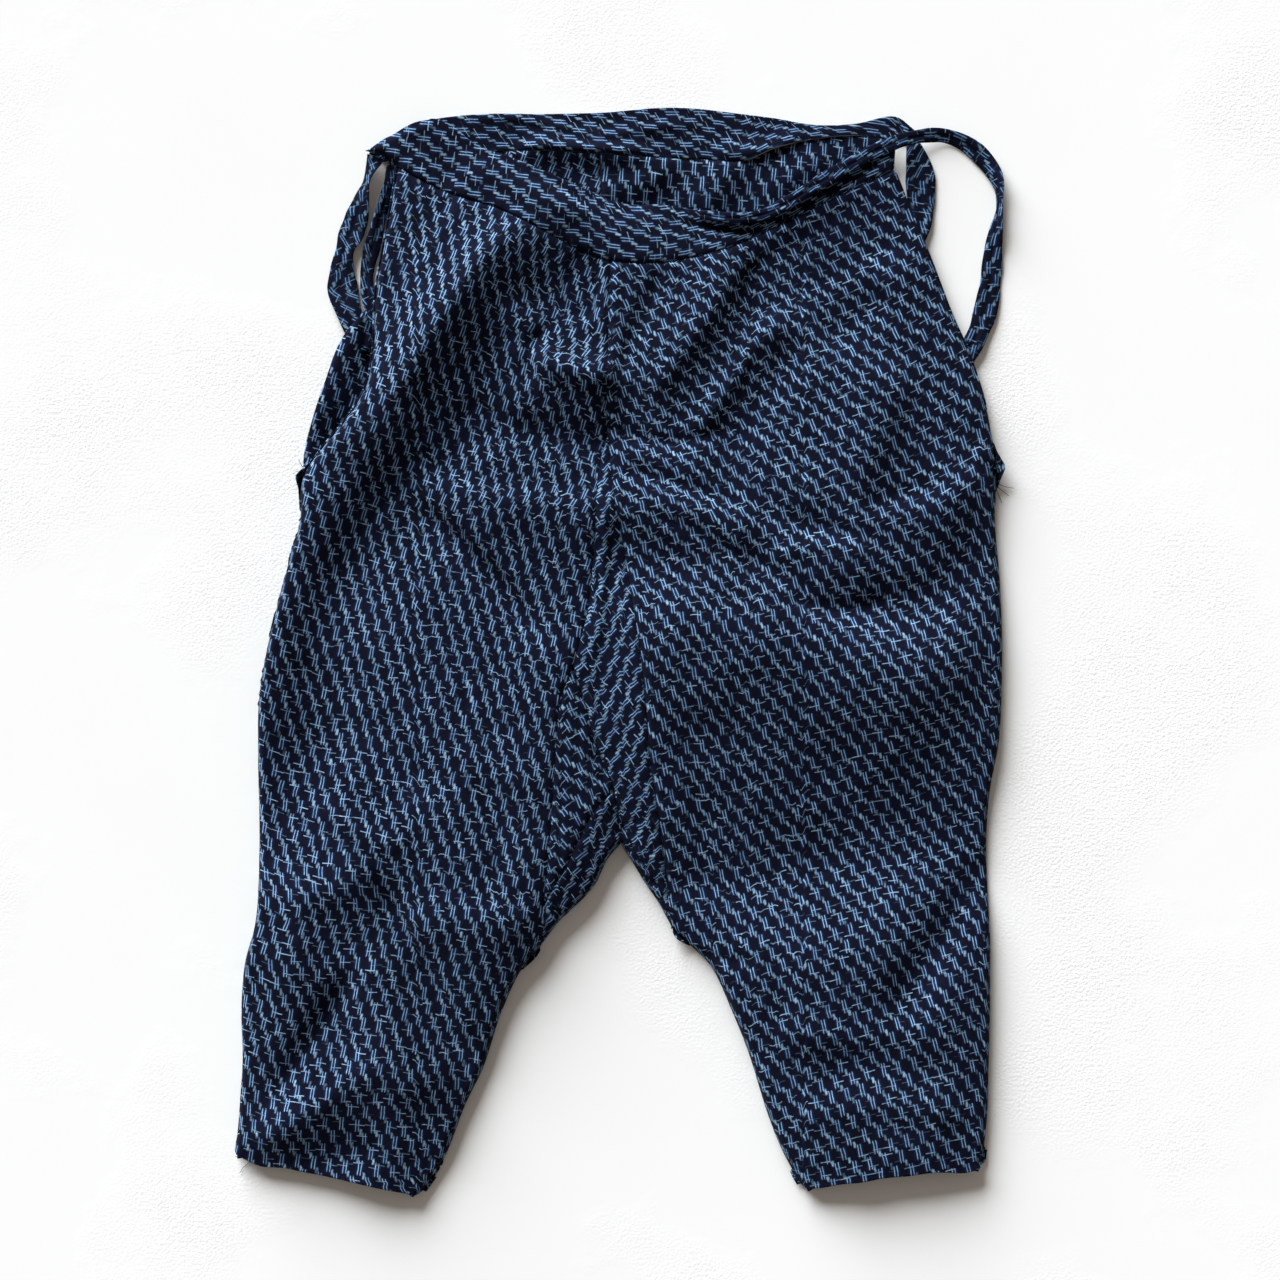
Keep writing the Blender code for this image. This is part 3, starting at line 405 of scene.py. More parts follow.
TIE_FRONT_LEFT = rows_of(Tie, (
    (32.8, 180.3, 4.0, 0), (47.2, 178.6, 4.6, 0), (58.8, 180.3, 5.0, 0), (69.1, 185.2, 5.4, 0),
    (81.5, 193.0, 6.0, 0), (94.7, 200.9, 6.0, 0), (107.0, 207.5, 6.0, 0),
    (117.4, 211.6, 6.0, 5.4), (127.7, 213.7, 5.8, 3.2, 12), (135.9, 213.3, 5.8, 1.9, 20),
    (145.0, 209.1, 7.0, 1.4, 10), (152.4, 201.7, 7.0, 1.3, 10), (156.3, 193.9, 5.6, 1.9, 40),
    (157.0, 184.4, 4.6, 2.2, 60), (155.7, 176.1, 6.0, 1.8, 35), (154.5, 167.9, 7.4, 1.2, 10),
    (153.7, 157.6, 8.6, 1.0), (152.4, 147.3, 9.0, 1.0), (150.2, 137.8, 9.2, 1.4),
    (146.6, 129.0, 9.0, 2.3), (142.6, 122.1, 8.6, 2.35), (139.2, 117.2, 8.0, 2.35),
))
TIE_BACK_LEFT = rows_of(Tie, (
    (121.1, 210.8, 6.0, 0.9), (122.3, 206.3, 8.4, 0.9), (124.0, 198.8, 11.4, 1.0),
    (124.4, 191.8, 13.0, 1.0), (124.6, 185.2, 11.8, 1.0), (124.8, 178.2, 8.0, 1.5),
    (123.9, 171.5, 5.6, 2.3), (121.6, 165.5, 5.0, 2.35),
))

# Loose thread ends, at the slits' lower ends, at a hem corner and on the seams
THREAD_ENDS = rows_of(Strand, (
    (((154.0, 71.0), (157.4, 67.4), (161.0, 64.6)), 0.5, True),
    (((154.4, 70.0), (156.4, 65.8), (158.0, 61.6)), 0.4, True),
    (((154.0, 69.0), (155.4, 64.6), (155.2, 60.4)), 0.3, True),
    (((155.0, 70.6), (159.0, 68.6), (163.0, 67.8)), 0.6, True),
    (((-131.0, 73.6), (-133.8, 74.8), (-136.0, 73.8)), 0.4, True),
    (((-130.6, 72.2), (-133.0, 71.2), (-134.6, 69.0)), 0.3, True),
    (((-130.4, 75.4), (-132.6, 77.8), (-133.4, 80.0)), 0.4, True),
    (((-154.0, -208.6), (-157.4, -209.8), (-159.8, -208.8)), 0.4, True),
    (((-153.0, -211.0), (-156.4, -213.6), (-157.8, -216.0)), 0.3, True),
    (((-2.6, 14.0), (-0.6, 16.6), (1.4, 15.8), (2.0, 13.6)), 0.5, False),
    (((-9.0, 8.0), (-7.0, 9.8), (-4.6, 9.2)), 0.5, False),
    (((-14.0, 160.0), (-12.2, 157.0), (-12.8, 154.0)), 0.5, False),
))
# The way round a tie's folded strip, in half widths and half thicknesses
TIE_FOLD = (
    (0.90, -0.10), (0.55, -0.62), (0.0, -0.78), (-0.6, -0.72), (-0.96, -0.42), (-1.0, 0.1),
    (-0.84, 0.62), (-0.36, 0.96), (-0.06, 0.5), (0.3, 0.94), (0.82, 0.72), (1.0, 0.2),
)


class Grain(Enum):
    """How a piece is cut: the lean of its warp from upright, by level."""

    RIGHT_LEG = (Lean(-225, 6), Lean(-120, 9), Lean(0, 12), Lean(110, 18), Lean(200, 22))
    LEFT_LEG = (Lean(-225, -12), Lean(-120, -13), Lean(0, -12), Lean(110, -20), Lean(200, -24))
    BIAS_LEFT = (Lean(-225, 55), Lean(225, 51))
    BIAS_RIGHT = (Lean(-225, -27), Lean(225, -24))
    RIGHT_BACK = (Lean(-225, 4), Lean(0, 8), Lean(70, 17), Lean(130, 18), Lean(205, 22))
    LEFT_BACK = (Lean(-225, -8), Lean(0, -8), Lean(130, -8), Lean(170, 2), Lean(205, 6))


def through(points: Sequence, stations: Sequence) -> Array:
    """Points of a smooth curve that passes the given rows at 0, 1, 2 and so on.

    Args:
        points: the rows.
        stations: places on the curve, in rows.

    Returns:
        One point for each station.
    """
    rows = np.array(points, float)
    padded = np.vstack([2 * rows[0] - rows[1], rows, 2 * rows[-1] - rows[-2]])
    stations = np.clip(np.asarray(stations, float), 0, len(rows) - 1)
    first = np.minimum(stations.astype(int), len(rows) - 2)
    share = (stations - first)[:, None]
    before, start, end, after = (padded[first + offset] for offset in range(4))
    return 0.5 * (
        2 * start
        + (end - before) * share
        + (2 * before - 5 * start + 4 * end - after) * share**2
        + (3 * start - before - 3 * end + after) * share**3
    )


def seam_edge(points: Array, stations: Sequence) -> Array:
    """The same for a leg's inner edge, with a corner where the gusset begins."""
    stations = np.asarray(stations, float)
    above = through(points[: GUSSET_TOP + 1], stations)
    below = through(points[GUSSET_TOP:], stations - GUSSET_TOP)
    return np.where((stations <= GUSSET_TOP)[:, None], above, below)


def dense(points: Sequence, per_row: int = 5) -> Array:
    """A smooth line through a table's points."""
    return through(points, np.linspace(0, len(points) - 1, (len(points) - 1) * per_row + 1))


def lengths(line: Array) -> Array:
    """Distance along a line of points, from its first."""
    steps = np.linalg.norm(np.diff(line, axis=0), axis=1)
    return np.concatenate([[0.0], np.cumsum(steps)])


def unit(vectors: Array) -> Array:
    """The same vectors at length one."""
    return vectors / (np.linalg.norm(vectors, axis=-1, keepdims=True) + TINY)


def at_shares(line: Array, shares: Sequence) -> Array:
    """Points at the given shares of a line's length."""
    along = lengths(line)
    wanted = np.asarray(shares) * along[-1]
    return np.stack([np.interp(wanted, along, part) for part in line.T], axis=1)


def even_stations(points: Sequence, step: float) -> Array:
    """Stations of a smooth curve whose points lie about one step apart."""
    fine = np.linspace(0, len(points) - 1, CURVE_POINTS)
    along = lengths(through(points, fine))
    count = max(2, int(round(along[-1] / step)) + 1)
    return np.interp(np.linspace(0, along[-1], count), along, fine)


def split_rows(first: float, last: float, parts: int) -> Array:
    """Stations from one row to another, each row split in the same number of parts."""
    return np.linspace(first, last, int(round((last - first) * parts)) + 1)


def columns(rows: Sequence, first: str, second: str) -> Array:
    """Two named columns of a table as an array of points."""
    return np.array([(getattr(row, first), getattr(row, second)) for row in rows], float)


def smooth_step(value: Array) -> Array:
    """A value from 0 to 1 that starts and ends level."""
    value = np.clip(value, 0, 1)
    return value * value * (3 - 2 * value)


def nearest(x: Array, y: Array, line: Array) -> tuple[Array, Array, Array]:
    """Finds the nearest place of a line for many points.

    Args:
        x: the points' first coordinates.
        y: their second coordinates.
        line: the line's points.

    Returns:
        Distance, place along the line from 0 to 1, and side: +1 on its left.
    """
    start, run = line[:-1], np.diff(line, axis=0)
    length = np.linalg.norm(run, axis=1)
    before = np.concatenate([[0.0], np.cumsum(length)[:-1]])
    found = []
    for begin in range(0, len(x), CHUNK):
        offset_x = x[begin : begin + CHUNK, None] - start[:, 0]
        offset_y = y[begin : begin + CHUNK, None] - start[:, 1]
        along = np.clip((offset_x * run[:, 0] + offset_y * run[:, 1]) / length**2, 0, 1)
        distance = np.hypot(offset_x - along * run[:, 0], offset_y - along * run[:, 1])
        best = distance.argmin(axis=1)
        pick = np.arange(len(best)), best
        place = (before[best] + along[pick] * length[best]) / length.sum()
        side = np.sign(run[best, 0] * offset_y[pick] - run[best, 1] * offset_x[pick])
        found.append((distance[pick], place, side))
    return tuple(np.concatenate(part) for part in zip(*found))


def beside(x: Array, y: Array, line: Array, reach: float) -> Array:
    """Numbers of the points that lie in the box round a line, widened by its reach."""
    low, high = line.min(axis=0) - reach, line.max(axis=0) + reach
    return np.flatnonzero((x > low[0]) & (x < high[0]) & (y > low[1]) & (y < high[1]))


def fold_lift(x: Array, y: Array, folds: Sequence[Fold], ends: float, reach: float = 9.0) -> Array:
    """How far folds lift or lower the cloth.

    Args:
        x: the points' first coordinates.
        y: their second coordinates.
        folds: the folds.
        ends: each end of a fold fades over its length divided by this.
        reach: how many of its widths a fold reaches to the side.

    Returns:
        The lift of each point.
    """
    lift = np.zeros_like(x)
    for fold in folds:
        line = dense(fold.path)
        near = beside(x, y, line, reach * max(fold.left, fold.right))
        if not len(near):
            continue
        distance, place, side = nearest(x[near], y[near], line)
        width = np.where(side > 0, fold.left, fold.right)
        fade = smooth_step(ends * place) * smooth_step(ends * (1 - place))
        lift[near] += fold.rise * fade * np.exp(-((distance / width) ** fold.sharp))
    return lift


def between_cells(table: Array, column: Array, row: Array, share_x: Array, share_y: Array) -> Array:
    """Values of a table at cells and shares of the way to the next ones; it repeats past its end."""
    rows, width = table.shape
    corners = [[table[(row + up) % rows, (column + on) % width] for on in (0, 1)] for up in (0, 1)]
    low, high = (first * (1 - share_x) + second * share_x for first, second in corners)
    return low * (1 - share_y) + high * share_y


def soft_noise(x: Array, y: Array, pitch: float, seed: int) -> Array:
    """Smooth uneven values from -1 to 1, about one pitch apart."""
    table = np.random.default_rng(seed).uniform(-1, 1, (NOISE_CELLS, NOISE_CELLS))
    x, y = x / pitch, y / pitch
    column, row = np.floor(x).astype(int), np.floor(y).astype(int)
    return between_cells(table, column, row, smooth_step(x - column), smooth_step(y - row))


def crotch_seams() -> tuple[Array, Array]:
    """The seams inside the crotch's outline, right and left, with their ends on the other seams."""
    right = columns(RIGHT_CROTCH, "seam_x", "seam_y")
    right[0] = seam_edge(RIGHT_INNER, [RIGHT_STRIP_ROW])[0]
    right[-1] = through(LINE, [LINE_STRIP_ROW])[0]
    left = columns(LEFT_CROTCH, "seam_x", "seam_y")
    left[0] = LINE[LINE_LEFT_ROW]
    left[-1] = seam_edge(LEFT_INNER, [LEFT_STRIP_ROW])[0]
    return dense(right), dense(left)


# The tables' edges and seams as lines of points
RIGHT_SIDE = columns(RIGHT_LEG, "side_x", "side_y")
LEFT_SIDE = columns(LEFT_LEG, "side_x", "side_y")
RIGHT_INNER = columns(RIGHT_LEG, "inner_x", "inner_y")
LEFT_INNER = columns(LEFT_LEG, "inner_x", "inner_y")
LINE = np.array(GUSSET_LINE, float)
RIGHT_OUTLINE = dense(columns(RIGHT_CROTCH, "edge_x", "edge_y"))
LEFT_OUTLINE = dense(columns(LEFT_CROTCH, "edge_x", "edge_y"))
FRONT_TOP = columns(FRONT_BAND, "top_x", "top_y")
FRONT_SEAM = columns(FRONT_BAND, "seam_x", "seam_y")
BACK_TOP = columns(BACK_BAND, "top_x", "top_y")
BACK_SEAM = columns(BACK_BAND, "seam_x", "seam_y")
RIGHT_CROTCH_SEAM, LEFT_CROTCH_SEAM = crotch_seams()
# The edges that the front rolls down to, and its seams
EDGES = (
    np.vstack([dense(RIGHT_SIDE)[::-1], FRONT_SEAM[:1], FRONT_TOP[:3]]),
    np.vstack([dense(LEFT_SIDE)[::-1], FRONT_TOP[-1:]]),
    np.vstack([dense(RIGHT_INNER[RIGHT_INSEAM:])[::-1], RIGHT_OUTLINE[1:]]),
    np.vstack([LEFT_OUTLINE, dense(LEFT_INNER[LEFT_INSEAM:])[1:]]),
)
SEAMS = (
    seam_edge(RIGHT_INNER, split_rows(0, RIGHT_STRIP_ROW, 4)),
    seam_edge(LEFT_INNER, split_rows(GUSSET_TOP, LEFT_STRIP_ROW, 4)),
    through(LINE, split_rows(0, LINE_STRIP_ROW, 5)),
    RIGHT_CROTCH_SEAM,
    LEFT_CROTCH_SEAM,
    dense(FRONT_SEAM),
)


def edge_distance(x: Array, y: Array) -> Array:
    """Distance from the nearest edge that the front rolls down to."""
    return np.min([nearest(x, y, line)[0] for line in EDGES], axis=0)


@dataclass
class GarmentForm:
    """The form in which the front lies, worked out from its edges, loft, folds and seams.

    fold_scale multiplies the folds' rise; fold_ends and fold_reach are fold_lift's.
    seam_dip and seam_width are a seam's groove; pucker is how far the cloth gathers
    beside it, pucker_pitch from one gather to the next, give or take wander. The
    front rolls down over edge_roll, for edge_share of its height, and over
    edge_reach for the rest. It starts from each edge's own level there, and
    open_reach inwards from open_share of the way from a sewn edge's to an open
    one's. slub and ripple are the cloth's own unevenness, whole from own_reach
    inwards. Sizes are millimetres.
    """

    folds: tuple
    fold_scale: float = 1.5
    fold_ends: float = 4.5
    fold_reach: float = 3.0
    seam_dip: float = 0.75
    seam_width: float = 1.1
    pucker: float = 0.22
    pucker_pitch: float = 7.0
    pucker_reach: float = 6.0
    wander: float = 2.5
    wander_pitch: float = 15.0
    edge_roll: float = 3.0
    edge_reach: float = 24.0
    edge_share: float = 0.72
    open_reach: float = 24.0
    open_share: float = 0.6
    own_reach: float = 4.0
    slub: float = 0.55
    slub_pitch: float = 17.0
    ripple: float = 0.15
    ripple_pitch: float = 6.0

    def seam_rise(self, x: Array, y: Array) -> Array:
        """The groove and the small gathers along the seams."""
        rise = np.zeros_like(x)
        for number, line in enumerate(SEAMS):
            near = beside(x, y, line, 3 * self.pucker_reach)
            if not len(near):
                continue
            distance, place, _ = nearest(x[near], y[near], line)
            along = place * lengths(line)[-1]
            own_row = np.full_like(along, number)
            wander = self.wander * soft_noise(along, own_row, self.wander_pitch, seed=3)
            wave = np.sin(2 * math.pi * (along + wander) / self.pucker_pitch)
            rise[near] -= self.seam_dip * np.exp(-((distance / self.seam_width) ** 2))
            rise[near] += self.pucker * wave * np.exp(-((distance / self.pucker_reach) ** 2))
        return rise

    def height(self, x: Array, y: Array) -> Array:
        """Height of the front's outer face.

        Args:
            x: first coordinates on the plan, of any shape.
            y: second coordinates, of the same shape.

        Returns:
            Heights of that shape.
        """
        shape = x.shape
        x, y = x.ravel(), y.ravel()
        edge = edge_distance(x, y)
        quarter = np.sqrt(1 - (1 - np.clip(edge / self.edge_roll, 0, 1)) ** 2)
        roll = self.edge_share * quarter + (1 - self.edge_share) * smooth_step(edge / self.edge_reach)
        middle = smooth_step(edge / self.open_reach)
        is_open = smooth_step((y - SLIT_END) / SLIT_FADE) * (1 - middle) + self.open_share * middle
        low = SEWN_LOW + (SLIT_EDGE - SEWN_LOW) * is_open
        loft = np.interp(y, *np.array(LOFTS, float).T)
        folds = self.fold_scale * fold_lift(x, y, self.folds, self.fold_ends, self.fold_reach)
        lift = np.maximum(loft + folds, LEAST_LIFT) + (SEWN_EDGE - SEWN_LOW) * (1 - is_open)
        own = self.slub * soft_noise(x, y, self.slub_pitch, seed=1)
        own += self.ripple * soft_noise(x, y, self.ripple_pitch, seed=2) + self.seam_rise(x, y)
        return (low + lift * roll + own * smooth_step(edge / self.own_reach)).reshape(shape)


@dataclass
class BackForm:
    """The form in which the back lies: on the surface, but for soft creases away from its edges."""

    folds: tuple
    fold_ends: float = 3.0
    lift: float = 0.04
    edge: float = 6.0

    def height(self, x: Array, y: Array) -> Array:
        """Height of the back's outer face at places on the plan."""
        shape = x.shape
        x, y = x.ravel(), y.ravel()
        inside = smooth_step(edge_distance(x, y) / self.edge)
        return (self.lift + fold_lift(x, y, self.folds, self.fold_ends) * inside).reshape(shape)


class ArcField:
    """How much more cloth than plan there is, because the front rises and falls."""

    def __init__(self, form: GarmentForm, low: tuple, high: tuple) -> None:
        """Adds up the cloth's length on a plain grid over the garment's plan."""
        self.x, self.y = (np.arange(start, end + ARC_STEP, ARC_STEP) for start, end in zip(low, high))
        slopes = np.gradient(form.height(*np.meshgrid(self.x, self.y)), ARC_STEP)
        slopes = (np.clip(slope, -SLOPE_LIMIT, SLOPE_LIMIT) for slope in slopes)
        more_y, more_x = (np.sqrt(1 + slope**2) - 1 for slope in slopes)
        self.more_x = np.cumsum(more_x, axis=1) * ARC_STEP
        self.more_y = np.cumsum(more_y, axis=0) * ARC_STEP

    def sample(self, table: Array, x: Array, y: Array) -> Array:
        """Values of one of the tables at places on the plan."""
        column = np.clip((x - self.x[0]) / ARC_STEP, 0, len(self.x) - 1 - TINY)
        row = np.clip((y - self.y[0]) / ARC_STEP, 0, len(self.y) - 1 - TINY)
        left, below = column.astype(int), row.astype(int)
        return between_cells(table, left, below, column - left, row - below)

    def cloth(self, grid: Array, centre: tuple, grain: Grain, flat: bool = False) -> Array:
        """Places on the cut cloth for places on the plan.

        Args:
            grid: places on the plan.
            centre: the plan's place where the two agree.
            grain: the lean of the warp.
            flat: whether the piece lies flat, with no more cloth than plan.

        Returns:
            Across and along the warp, in metres.
        """
        x, y = grid[..., 0] - centre[0], grid[..., 1]
        if not flat:
            here = np.full_like(x, centre[0])
            x = x + self.sample(self.more_x, grid[..., 0], y) - self.sample(self.more_x, here, y)
            y = y + self.sample(self.more_y, grid[..., 0], y)
        lean = np.radians(np.interp(CLOTH_LEVELS, *np.array(grain.value, float).T))
        step = CLOTH_LEVELS[1] - CLOTH_LEVELS[0]
        drift, rise = np.cumsum(np.sin(lean)) * step, np.cumsum(np.cos(lean)) * step
        turn = np.interp(y, CLOTH_LEVELS, lean)
        across = x * np.cos(turn) - np.interp(y, CLOTH_LEVELS, drift)
        along = x * np.sin(turn) + np.interp(y, CLOTH_LEVELS, rise)
        return np.stack([across, along], axis=-1) * MM


def patch(
    first: Array, second: Array, shares: Array, top: Array | None = None, bottom: Array | None = None
) -> Array:
    """Points between two edges, with curved ends: rows down, columns across."""
    grid = first[:, None] + shares[..., None] * (second - first)[:, None]
    down = np.linspace(0, 1, len(first))[:, None, None]
    if top is not None:
        grid += (1 - down) ** 3 * (top - grid[0])[None]
    if bottom is not None:
        grid += down**3 * (bottom - grid[-1])[None]
    return grid


def even_shares(rows: int, across: int) -> Array:
    """The same even shares across for each row."""
    return np.tile(np.linspace(0, 1, across), (rows, 1))


def inset(border: Array, inside: Array, amount: float | Array) -> Array:
    """Moves a border row of a plan towards the row inside it."""
    run = unit(np.gradient(border, axis=0))
    across = np.stack([-run[:, 1], run[:, 0]], axis=1)
    across *= np.sign((across * (inside - border)).sum(axis=1))[:, None]
    return border + np.reshape(amount, (-1, 1)) * across


class Border(Enum):
    """A border row of a plan and the row inside it."""

    TOP = (np.s_[0], np.s_[1])
    BOTTOM = (np.s_[-1], np.s_[-2])
    FIRST = (np.s_[:, 0], np.s_[:, 1])
    LAST = (np.s_[:, -1], np.s_[:, -2])


def draw_in(grid: Array, *borders: Border, amount: float | Array = SEAM_GAP / 2) -> None:
    """Moves borders of a plan in from their seams, one after the other."""
    for border in borders:
        edge, inside = border.value
        grid[edge] = inset(grid[edge], grid[inside], amount)


def rolled_shares(width: Array, interior: int, close: int = 11) -> Array:
    """Shares across a panel, so many of them close together near each edge."""
    near = ROLL * (1 - np.cos(np.radians(np.linspace(0, 90, close))))
    first = near[None] / width[:, None]
    last = 1 - first[:, ::-1]
    middle = np.linspace(0, 1, interior + 2)[1:-1][None]
    middle = first[:, -1:] + (last[:, :1] - first[:, -1:]) * middle
    return np.hstack([first, middle, last])


def hem_stations(count: int, parts: int) -> Array:
    """Stations down a leg of so many table rows, three times as close in the last one."""
    last = split_rows(count - 2, count - 1, 3 * parts)
    return np.concatenate([split_rows(0, count - 2, parts), last[1:]])


def round_corners(first: Array, second: Array, radius: float = 2.8) -> tuple[Array, Array]:
    """The side and inner edges of a leg with round corners at the hem."""
    across, ends = unit(second - first), []
    for edge in (first, second):
        past = np.clip(radius - (lengths(edge)[-1] - lengths(edge)), 0, radius)
        ends.append(CORNER_SHARE * (radius - np.sqrt(radius**2 - past**2)))
    return first + across * ends[0][:, None], second - across * ends[1][:, None]


def grid_normals(grid: Array) -> Array:
    """Unit normals of a grid of points, on the side from which rows and columns turn left."""
    return unit(np.cross(np.gradient(grid, axis=1), np.gradient(grid, axis=0)))


def add_object(name: str, data: bpy.types.ID) -> bpy.types.Object:
    """Puts a new object with its data in the scene, at the origin."""
    made = bpy.data.objects.new(name, data)
    bpy.context.scene.collection.objects.link(made)
    return made


@dataclass
class Shell:
    """A thin cloth shell: a grid of outer points, its normals and its places on the cut cloth."""

    outer: Array
    normal: Array
    cloth: Array

    def turned(self, depth: int, radius: float = TURN_RADIUS) -> "Shell":
        """Turns the last row under, as a hem is, and lays it against the inside.

        Args:
            depth: how many rows lie on the inside.
            radius: of the fold.

        Returns:
            The longer shell.
        """
        edge, normal = self.outer[-1], self.normal[-1]
        run = edge - self.outer[-2]
        pace = np.linalg.norm(run, axis=-1, keepdims=True) * MM
        run = unit(run - (run * normal).sum(axis=-1, keepdims=True) * normal)
        step = (self.cloth[-1] - self.cloth[-2]) / (pace + TINY)
        outer, normals, cloth = [self.outer], [self.normal], [self.cloth]
        for degrees in range(30, 181, 30):
            angle = math.radians(degrees)
            facing = normal * math.cos(angle) + run * math.sin(angle)
            outer.append((edge + radius * (facing - normal))[None])
            normals.append(facing[None])
            cloth.append((self.cloth[-1] + step * radius * angle * MM)[None])
        for row in range(2, depth + 2):
            outer.append((self.outer[-row] - 2 * radius * self.normal[-row])[None])
            normals.append(-self.normal[-row][None])
            travel = np.linalg.norm(self.outer[-row] - edge, axis=-1, keepdims=True) + math.pi * radius
            cloth.append((self.cloth[-1] + step * travel * MM)[None])
        return Shell(np.concatenate(outer), np.concatenate(normals), np.concatenate(cloth))

    def swapped(self) -> "Shell":
        """The same shell with rows and columns changed over."""
        return Shell(*(part.transpose(1, 0, 2) for part in (self.outer, self.normal, self.cloth)))

    def make(self, name: str, thickness: float = CLOTH, floor: float = 0.0) -> bpy.types.Object:
        """Makes the closed mesh of the shell.

        Args:
            name: the object's name.
            thickness: of the cloth, in millimetres.
            floor: the lowest that either face may lie.

        Returns:
            The object.
        """
        self.outer[..., 2] = np.maximum(self.outer[..., 2], floor)
        inner = self.outer - thickness * self.normal
        inner[..., 2] = np.maximum(inner[..., 2], floor)
        rows, across = self.outer.shape[:2]
        index = np.arange(rows * across).reshape(rows, across)
        around = index[:-1, :-1], index[:-1, 1:], index[1:, 1:], index[1:, :-1]
        outside = np.stack(around, axis=-1).reshape(-1, 4)
        rim = np.concatenate([index[0], index[1:, -1], index[-1, -2::-1], index[-2:0:-1, 0]])
        there = np.roll(rim, -1)
        sides = np.stack([there, rim, rim + index.size, there + index.size], axis=-1)
        faces = np.concatenate([outside, outside[:, ::-1] + index.size, sides])
        row, column = rows // 3, across // 2
        along = self.outer[row + 1, column] - self.outer[row, column]
        sideways = self.outer[row, column + 1] - self.outer[row, column]
        if np.dot(np.cross(sideways, along), self.normal[row, column]) < 0:
            faces = faces[:, ::-1]
        points = (np.vstack([self.outer.reshape(-1, 3), inner.reshape(-1, 3)]) - MIDDLE) * MM
        mesh = bpy.data.meshes.new(name)
        mesh.from_pydata(points.tolist(), [], faces.tolist())
        places = np.vstack([self.cloth.reshape(-1, 2)] * 2)
        corners = np.zeros(len(mesh.loops), np.int32)
        mesh.loops.foreach_get("vertex_index", corners)
        layer = mesh.uv_layers.new(name=CLOTH_MAP)
        layer.data.foreach_set("uv", places[corners].astype(np.float32).ravel())
        mesh.shade_smooth()
        return add_object(name, mesh)


def faced(outer: Array, cloth: Array, up: bool = True) -> Shell:
    """A grid of outer points as a shell whose outer face looks up, or down."""
    normal = grid_normals(outer)
    middle = normal[len(outer) // 2, outer.shape[1] // 2, 2]
    return Shell(outer, normal if (middle > 0) == up else -normal, cloth)


def on_form(
    grid: Array, form: GarmentForm | BackForm, cloth: Array, rise: float = 0.0, up: bool = True
) -> Shell:
    """A piece's plan as a shell on the front's or the back's form, its outer face up or down."""
    outer = np.dstack([grid, form.height(grid[..., 0], grid[..., 1]) + rise])
    return faced(outer, cloth, up)


@dataclass
class Piece:
    """What every piece has: its name, the node that it stands for, and its flat cut in metres."""

    name: str
    node: str
    flat: tuple
    area: float

    def finish(self, piece: bpy.types.Object, slot: str, material: Material, rests_on: list) -> None:
        """Gives a piece its material, rides it on the frame and hides the node that it stands for.

        Args:
            piece: the finished object.
            slot: the material slot's name; not used.
            material: the piece's finish.
            rests_on: the nodes below it, or the floor; not used.
        """
        piece.data.materials.append(material)
        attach(piece, "root")
        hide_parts(self.node)
        logging.info("%s: %d faces", piece.name, len(piece.data.polygons))


@dataclass
class FrontLeg(Piece):
    """A front leg from its waist seam to its hem, rolled down at its side and inseam.

    corner is where the slit's lower end stands out from the side. The hem wavers
    by hem_wave, and with its dips is felt for hem_reach above it.
    """

    side: Array
    inner: Array
    inseam: int
    top: Array
    centre: tuple
    grain: Grain
    corner: Bulge
    dips: tuple
    parts: int = 12
    interior: int = 92
    hem_rows: int = 20
    hem_wave: float = 0.45
    wave_pitch: float = 11.0
    hem_reach: float = 12.0

    def make(self, form: GarmentForm, arcs: ArcField, material: Material) -> None:
        stations = hem_stations(len(self.side), self.parts)
        first, second = through(self.side, stations), seam_edge(self.inner, stations)
        first[:, 0] += math.copysign(1, self.centre[0]) * self.corner.at(first[:, 1])
        first, second = round_corners(first, second)
        shares = rolled_shares(np.linalg.norm(second - first, axis=1), self.interior)
        grid = patch(first, second, shares, top=at_shares(self.top, shares[0]))
        low = self.hem_wave * soft_noise(grid[..., 0], grid[..., 1], self.wave_pitch, seed=21)
        low -= sum(dip.at(grid[..., 0]) for dip in self.dips)
        left = lengths(first)[-1] - lengths(first)
        grid[..., 1] += low * (1 - smooth_step(left / self.hem_reach))[:, None]
        draw_in(grid, Border.LAST, amount=np.where(stations <= self.inseam, SEAM_GAP / 2, 0))
        draw_in(grid, Border.TOP)
        shell = on_form(grid, form, arcs.cloth(grid, self.centre, self.grain))
        piece = shell.turned(self.hem_rows).make(self.name, floor=FRONT_FLOOR)
        self.finish(piece, "body_cotton", material, ["back_leg_right", "back_leg_left"])


